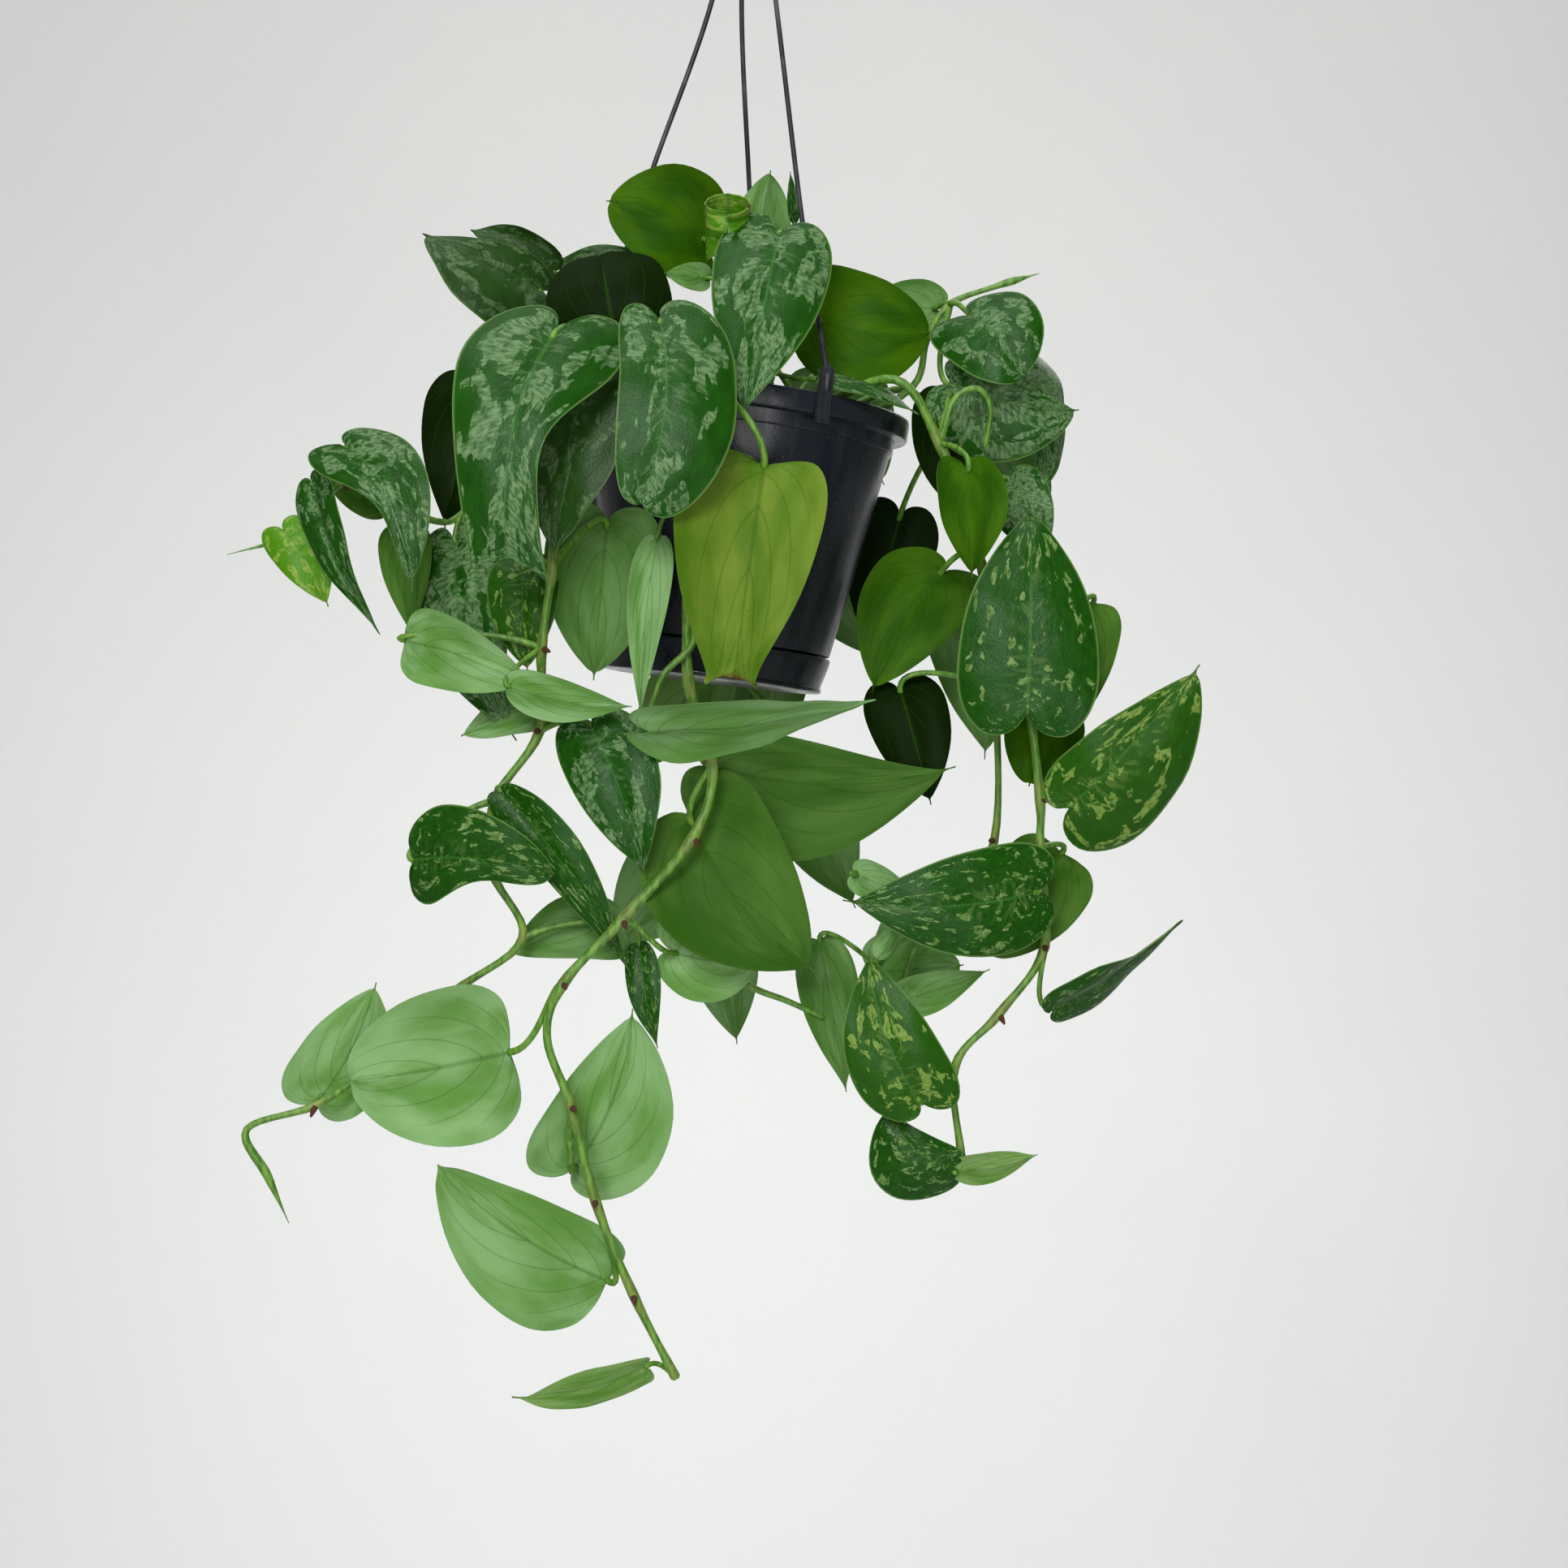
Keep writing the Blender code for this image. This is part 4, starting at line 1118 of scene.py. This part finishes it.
@dataclass(frozen=True)
class Pot:
    """The leaning nursery pot, the saucer clipped under it, and the soil in it. All in mm."""

    rim_top: Point = (0.5, 0.0, -296.0)
    lean: float = 7.0
    rim_r: float = 75.0
    rim_tall: float = 9.5
    step_r: float = 69.0
    step_depth: float = 16.0
    wall_top_r: float = 67.6
    wall_low_r: float = 52.0
    wall_low: float = 109.5
    foot_r: float = 46.5
    foot_depth: float = 117.0
    wall: float = 1.6
    saucer_top_r: float = 52.4
    saucer_low_r: float = 49.0
    saucer_top: float = 110.5
    saucer_low: float = 126.0
    soil_top: float = 9.0

    def place(self) -> Matrix:
        """Return the matrix that leans the pot and puts its rim in place, in mm."""
        return Matrix.Translation(Vector(self.rim_top)) @ Matrix.Rotation(math.radians(self.lean), 4, "Y")

    def build_pot(self) -> None:
        """Build the pot's wall with its rolled rim, its two bands and its foot."""
        inner = self.wall
        profile = [
            (0, self.foot_depth - 4), (self.foot_r - 4, self.foot_depth - 4),
            (self.foot_r - 2.6, self.foot_depth - 4.4),
            (self.wall_low_r - inner - 0.4, self.wall_low - 3.6),
            (self.wall_low_r - inner, self.wall_low - 5), (self.wall_top_r - inner, self.step_depth + 0.6),
            (self.wall_top_r - inner + 0.4, self.step_depth - 1), (self.step_r - inner, 8.6),
            (self.step_r - inner + 0.6, 7.4), (self.rim_r - 3.9, 2.2), (self.rim_r - 3.2, 0.9),
            (self.rim_r - 2.2, 0.2), (self.rim_r - 1.4, 0.0), (self.rim_r - 0.7, 0.15),
            (self.rim_r - 0.2, 0.7), (self.rim_r, 1.6), (self.rim_r - 0.15, 5.0),
            (self.rim_r - 0.3, self.rim_tall - 0.8), (self.rim_r - 0.7, self.rim_tall - 0.15),
            (self.rim_r - 1.6, self.rim_tall), (self.step_r + 1, self.rim_tall),
            (self.step_r + 0.4, self.rim_tall + 0.3), (self.step_r + 0.2, self.rim_tall + 1),
            (self.step_r, self.step_depth - 0.8), (self.step_r - 0.35, self.step_depth - 0.1),
            (self.wall_top_r + 0.2, self.step_depth + 0.1), (self.wall_top_r, self.step_depth + 0.9),
        ]
        for k in range(1, 12):
            share = k / 12
            radius = self.wall_top_r + (self.wall_low_r - self.wall_top_r) * share
            profile.append((radius + 0.25 * math.sin(math.pi * share), self.step_depth + 1
                            + (self.wall_low - self.step_depth - 2) * share))
        profile += [
            (self.wall_low_r, self.wall_low - 0.9), (self.wall_low_r - 0.3, self.wall_low - 0.2),
            (self.wall_low_r - 1, self.wall_low), (self.foot_r + 0.6, self.wall_low),
            (self.foot_r, self.wall_low + 0.6), (self.foot_r - 0.5, self.foot_depth - 0.8),
            (self.foot_r - 1.2, self.foot_depth), (0, self.foot_depth),
        ]
        skin = Skin()
        skin.turned(profile, self.place())
        stand_for(skin.piece("pot_body", ["pot"], 35), "pot")

    def build_saucer(self) -> None:
        """Build the saucer with its turned-out lower lip."""
        top_r, low_r = self.saucer_top_r, self.saucer_low_r
        profile = [
            (0, self.saucer_low - 2.6), (low_r - 4.4, self.saucer_low - 2.6),
            (low_r - 3.2, self.saucer_low - 3.4), (top_r - 1.8, self.saucer_top + 0.6),
            (top_r - 1.4, self.saucer_top + 0.1), (top_r - 0.9, self.saucer_top),
            (top_r - 0.3, self.saucer_top + 0.1), (top_r, self.saucer_top + 0.8),
            (top_r - 0.3, self.saucer_top + 3), (low_r + 0.6, self.saucer_low - 3),
            (low_r + 0.4, self.saucer_low - 2.2), (low_r + 0.9, self.saucer_low - 1.7),
            (low_r + 1, self.saucer_low - 1), (low_r + 0.8, self.saucer_low - 0.3),
            (low_r + 0.2, self.saucer_low), (0, self.saucer_low),
        ]
        skin = Skin()
        skin.turned(profile, self.place())
        stand_for(skin.piece("saucer_body", ["pot"], 35), "saucer")

    def build_soil(self) -> None:
        """Build the soil with a lumpy top, loose bark chips on it and crumbs on the rim."""
        rng = random.Random("soil")
        low = self.wall_low - 3.0
        profile = [(0, self.soil_top - 2)]
        for k in range(1, 23):
            radius = 2.9 * k
            profile.append((radius, self.soil_top - 2 + 4.4 * (radius / 64) ** 2 + rng.uniform(-0.8, 0.8)))
        profile += [
            (self.wall_top_r - self.wall - 0.8, self.step_depth),
            (self.wall_low_r - self.wall - 0.6, low - 0.4), (self.foot_r - 4, self.foot_depth - 4.5),
            (0, self.foot_depth - 4.5),
        ]
        skin = Skin()
        place = self.place()
        skin.turned(profile, place, 96)
        up = place.to_3x3() @ Vector((0, 0, 1))
        for k, point in enumerate(skin.verts[:96 * 21]):
            ring = k // 96
            skin.verts[k] = point + up * (rng.uniform(-1.1, 1.1) * min(1.0, ring / 4) * (1 - ring / 30))
        for _ in range(240):
            turn = rng.uniform(0, 2 * math.pi)
            radius = 63 * math.sqrt(rng.random())
            centre = place @ Vector((radius * math.cos(turn), radius * math.sin(turn),
                                     -self.soil_top + 2.6 - 4.4 * (radius / 64) ** 2))
            size = Vector((rng.uniform(1.2, 4.2), rng.uniform(0.8, 2.2), rng.uniform(0.4, 1.1)))
            skin.chip(centre, size, Quaternion((rng.random(), rng.random(), rng.random()), rng.uniform(0, 3)))
        stand_for(skin.piece("soil_bed", ["soil"], 30), "soil")
        crumbs = Skin()
        for k in range(22):
            turn = math.radians(-100 + 19 * k + rng.uniform(-6, 6))
            centre = place @ Vector((73.5 * math.cos(turn), 73.5 * math.sin(turn), 0.3))
            size = Vector((rng.uniform(0.5, 1.3), rng.uniform(0.4, 0.8), rng.uniform(0.3, 0.5)))
            crumbs.chip(centre, size, Quaternion((0, 0, 1), rng.uniform(0, 3)))
        piece = crumbs.piece("rim_crumbs", ["soil"], 30)
        log.info("crumbs on the rim")


@dataclass(frozen=True)
class Hanger:
    """The moulded hook with its hub, and the three strands that clip on the rim. All in mm."""

    rod: float = 2.2
    inner: float = 9.5
    hub_x: float = 1.8
    hub: tuple = ((-38.6, 2.2), (-39.8, 2.8), (-40.6, 4.6), (-41.2, 6.4), (-42, 7.2), (-43, 7.6), (-48, 7.6),
                  (-48.8, 7.4), (-49.5, 6.6))
    strand_r: float = 1.15
    strands: tuple = (
        ("strand_left", ((-2.6, 0.0, -50), (-14, 0, -114), (-40, 0, -188), (-54, 0, -230)), 180.0),
        ("strand_back", ((1.6, 4.4, -50), (-1, 14, -114), (2, 36, -186), (5, 54, -240)), 87.0),
        ("strand_right", ((5.4, -4.0, -50), (14, -16, -114), (25, -40, -212), (30, -52, -248)), -62.0),
    )

    def build_hook(self) -> None:
        """Build the hook, its shank and the hub."""
        centre = Vector((0.0, 0.0, -self.inner))
        ring = self.inner + self.rod
        points, radii = [], []
        for deg in range(-40, 200, 8):
            a = math.radians(deg)
            points.append(centre + Vector((ring * math.cos(a), 0.0, ring * math.sin(a))))
            radii.append(self.rod * (0.7 + 0.3 * ease(deg, -40, -10)))
        shank = [points[-1], Vector((-8.2, 0, -19)), Vector((-3.2, 0, -25)), Vector((0.6, 0, -30.5)),
                 Vector((self.hub_x, 0, -36))]
        for point in smooth_path(shank, 4)[1:]:
            points.append(point)
            radii.append(self.rod)
        for z, radius in self.hub:
            points.append(Vector((self.hub_x, 0, z)))
            radii.append(radius)
        skin = Skin()
        skin.tube(points, radii, 24)
        stand_for(skin.piece("hook_body", ["hanger"], 40), "hook")

    def build_strands(self, pot: Pot) -> None:
        """Build each strand, ending in a round-topped clip plate with a rib.

        Args:
            pot: The pot whose rim they clip on.
        """
        place = pot.place()
        for name, points, bearing in self.strands:
            a = math.radians(bearing)
            out = Vector((math.cos(a), math.sin(a), 0.0))
            clip_top = place @ (out * (pot.rim_r + 1.5) + Vector((0, 0, 7.0)))
            clip_mid = place @ (out * (pot.rim_r + 1.5) + Vector((0, 0, 1.0)))
            path = smooth_path([*points, clip_top], 12)
            path.append(clip_mid)
            reach = len(path) - 1
            skin = Skin()
            radii = [self.strand_r * (1 + 0.5 * ease(i / reach, 0.93, 1.0)) for i in range(reach + 1)]
            skin.tube(path, radii, 12)
            spin = place @ Matrix.Rotation(a, 4, "Z")
            self.add_plate(skin, spin, pot.rim_r + 0.3, 1.5, 6.8, 25.0, 12.0)
            self.add_plate(skin, spin, pot.rim_r + 1.6, 1.0, 2.4, 22.0, 10.0)
            stand_for(skin.piece(name + "_moulding", ["hanger"], 40), name)

    def add_plate(self, skin: Skin, spin: Matrix, radius: float, thick: float, wide: float, tall: float,
                  top: float) -> None:
        """Add an upright plate with a round top.

        Args:
            skin: The mesh it joins.
            spin: The matrix that turns it to its bearing.
            radius: Its inner face's distance from the pot's axis.
            thick: Its thickness.
            wide: Its width.
            tall: Its height.
            top: How far its top stands over the rim.
        """
        half = wide / 2
        outline = [(-half, top - tall), (half, top - tall)]
        for k in range(9):
            a = math.pi * k / 8
            outline.append((half * math.cos(a), top - half + half * math.sin(a)))
        count = len(outline)
        verts = [spin @ Vector((radius, y, z)) for y, z in outline]
        verts += [spin @ Vector((radius + thick, y * 0.86, z - 0.1 * thick)) for y, z in outline]
        faces = [tuple(reversed(range(count))), tuple(range(count, 2 * count))]
        faces += [(k, (k + 1) % count, count + (k + 1) % count, count + k) for k in range(count)]
        skin.add(verts, faces)


@dataclass(frozen=True)
class Studio:
    """Pale backdrop and floor, soft lights and the camera. In metres."""

    wall_y: float = 2.9
    floor_z: float = -1.9
    half_wide: float = 6.0
    front_y: float = -6.0
    top_z: float = 4.0
    curve: float = 0.9
    camera_at: Point = (0.0183, -1.28, -0.4676)
    lens: float = 65.2

    def build_backdrop(self) -> None:
        """Build the floor that curves up into the wall."""
        profile = [(self.front_y, self.floor_z)]
        for k in range(17):
            a = math.pi / 2 * k / 16
            profile.append((self.wall_y - self.curve + self.curve * math.sin(a),
                            self.floor_z + self.curve - self.curve * math.cos(a)))
        profile.append((self.wall_y, self.top_z))
        verts = [(x, y, z) for y, z in profile for x in (-self.half_wide, self.half_wide)]
        faces = [(2 * i, 2 * i + 1, 2 * i + 3, 2 * i + 2) for i in range(len(profile) - 1)]
        mesh = bpy.data.meshes.new("backdrop")
        mesh.from_pydata(verts, [], faces)
        mesh.shade_smooth()
        mesh.materials.append(FINISHES["plaster"])
        backdrop = bpy.data.objects.new("backdrop", mesh)
        bpy.context.scene.collection.objects.link(backdrop)

    def add_light(self, name: str, place: Point, aim: Point, size: float, power: float,
                  colour: tuple = (1.0, 1.0, 1.0)) -> None:
        """Add a square soft light.

        Args:
            name: Its name.
            place: Where it stands.
            aim: The point that it faces.
            size: Its side.
            power: Its power in watts.
            colour: Its colour.
        """
        light = bpy.data.lights.new(name, "AREA")
        light.size = size
        light.energy = power
        light.color = colour
        lamp = bpy.data.objects.new(name, light)
        lamp.location = place
        lamp.rotation_euler = (Vector(aim) - Vector(place)).to_track_quat("-Z", "Y").to_euler()
        bpy.context.scene.collection.objects.link(lamp)

    def build_lights(self) -> None:
        """Build the pale world and the soft lights."""
        world = bpy.data.worlds.new("studio_air")
        world.use_nodes = True
        air = world.node_tree.nodes["Background"]
        air.inputs["Color"].default_value = (0.83, 0.84, 0.83, 1.0)
        air.inputs["Strength"].default_value = 0.23
        bpy.context.scene.world = world
        middle = (0.0, 0.0, -0.42)
        self.add_light("key_front", (-0.4, -2.2, 0.5), middle, 0.9, 34.0)
        self.add_light("top_soft", (-0.3, -0.6, 1.4), middle, 0.9, 12.0)
        self.add_light("low_fill", (0.3, -2.5, -0.9), middle, 1.4, 19.0)
        self.add_light("back_soft", (0.8, 1.6, 0.9), middle, 1.2, 12.0)
        self.add_light("wall_low", (0.0, 0.9, -1.5), (0.0, 2.9, -0.9), 2.4, 43.0, (0.975, 1.0, 0.995))
        self.add_light("wall_high", (0.0, 0.8, 1.9), (0.0, 2.9, 0.2), 2.4, 23.0, (1.0, 1.0, 0.965))

    def build_camera(self) -> None:
        """Build the level camera that looks to the back."""
        data = bpy.data.cameras.new("camera")
        data.lens = self.lens
        camera = bpy.data.objects.new("camera", data)
        camera.location = self.camera_at
        camera.rotation_euler = (math.radians(90), 0.0, 0.0)
        bpy.context.scene.collection.objects.link(camera)
        bpy.context.scene.camera = camera


@dataclass
class HangingPothos:
    """The whole plant: pot, hanger and vines."""

    pot: Pot = field(default_factory=Pot)
    hanger: Hanger = field(default_factory=Hanger)
    vines: tuple[Vine, ...] = VINES

    def build(self) -> None:
        """Build every sub-assembly in order."""
        self.pot.build_pot()
        self.pot.build_saucer()
        self.pot.build_soil()
        self.hanger.build_hook()
        self.hanger.build_strands(self.pot)
        for vine in self.vines:
            vine.build()


def main() -> None:
    """Build the studio and the plant."""
    logging.basicConfig(level=logging.INFO, format="%(name)s: %(message)s")
    bpy.context.scene.view_settings.view_transform = "Standard"
    studio = Studio()
    studio.build_backdrop()
    studio.build_lights()
    studio.build_camera()
    HangingPothos().build()


if __name__ == "__main__":
    main()
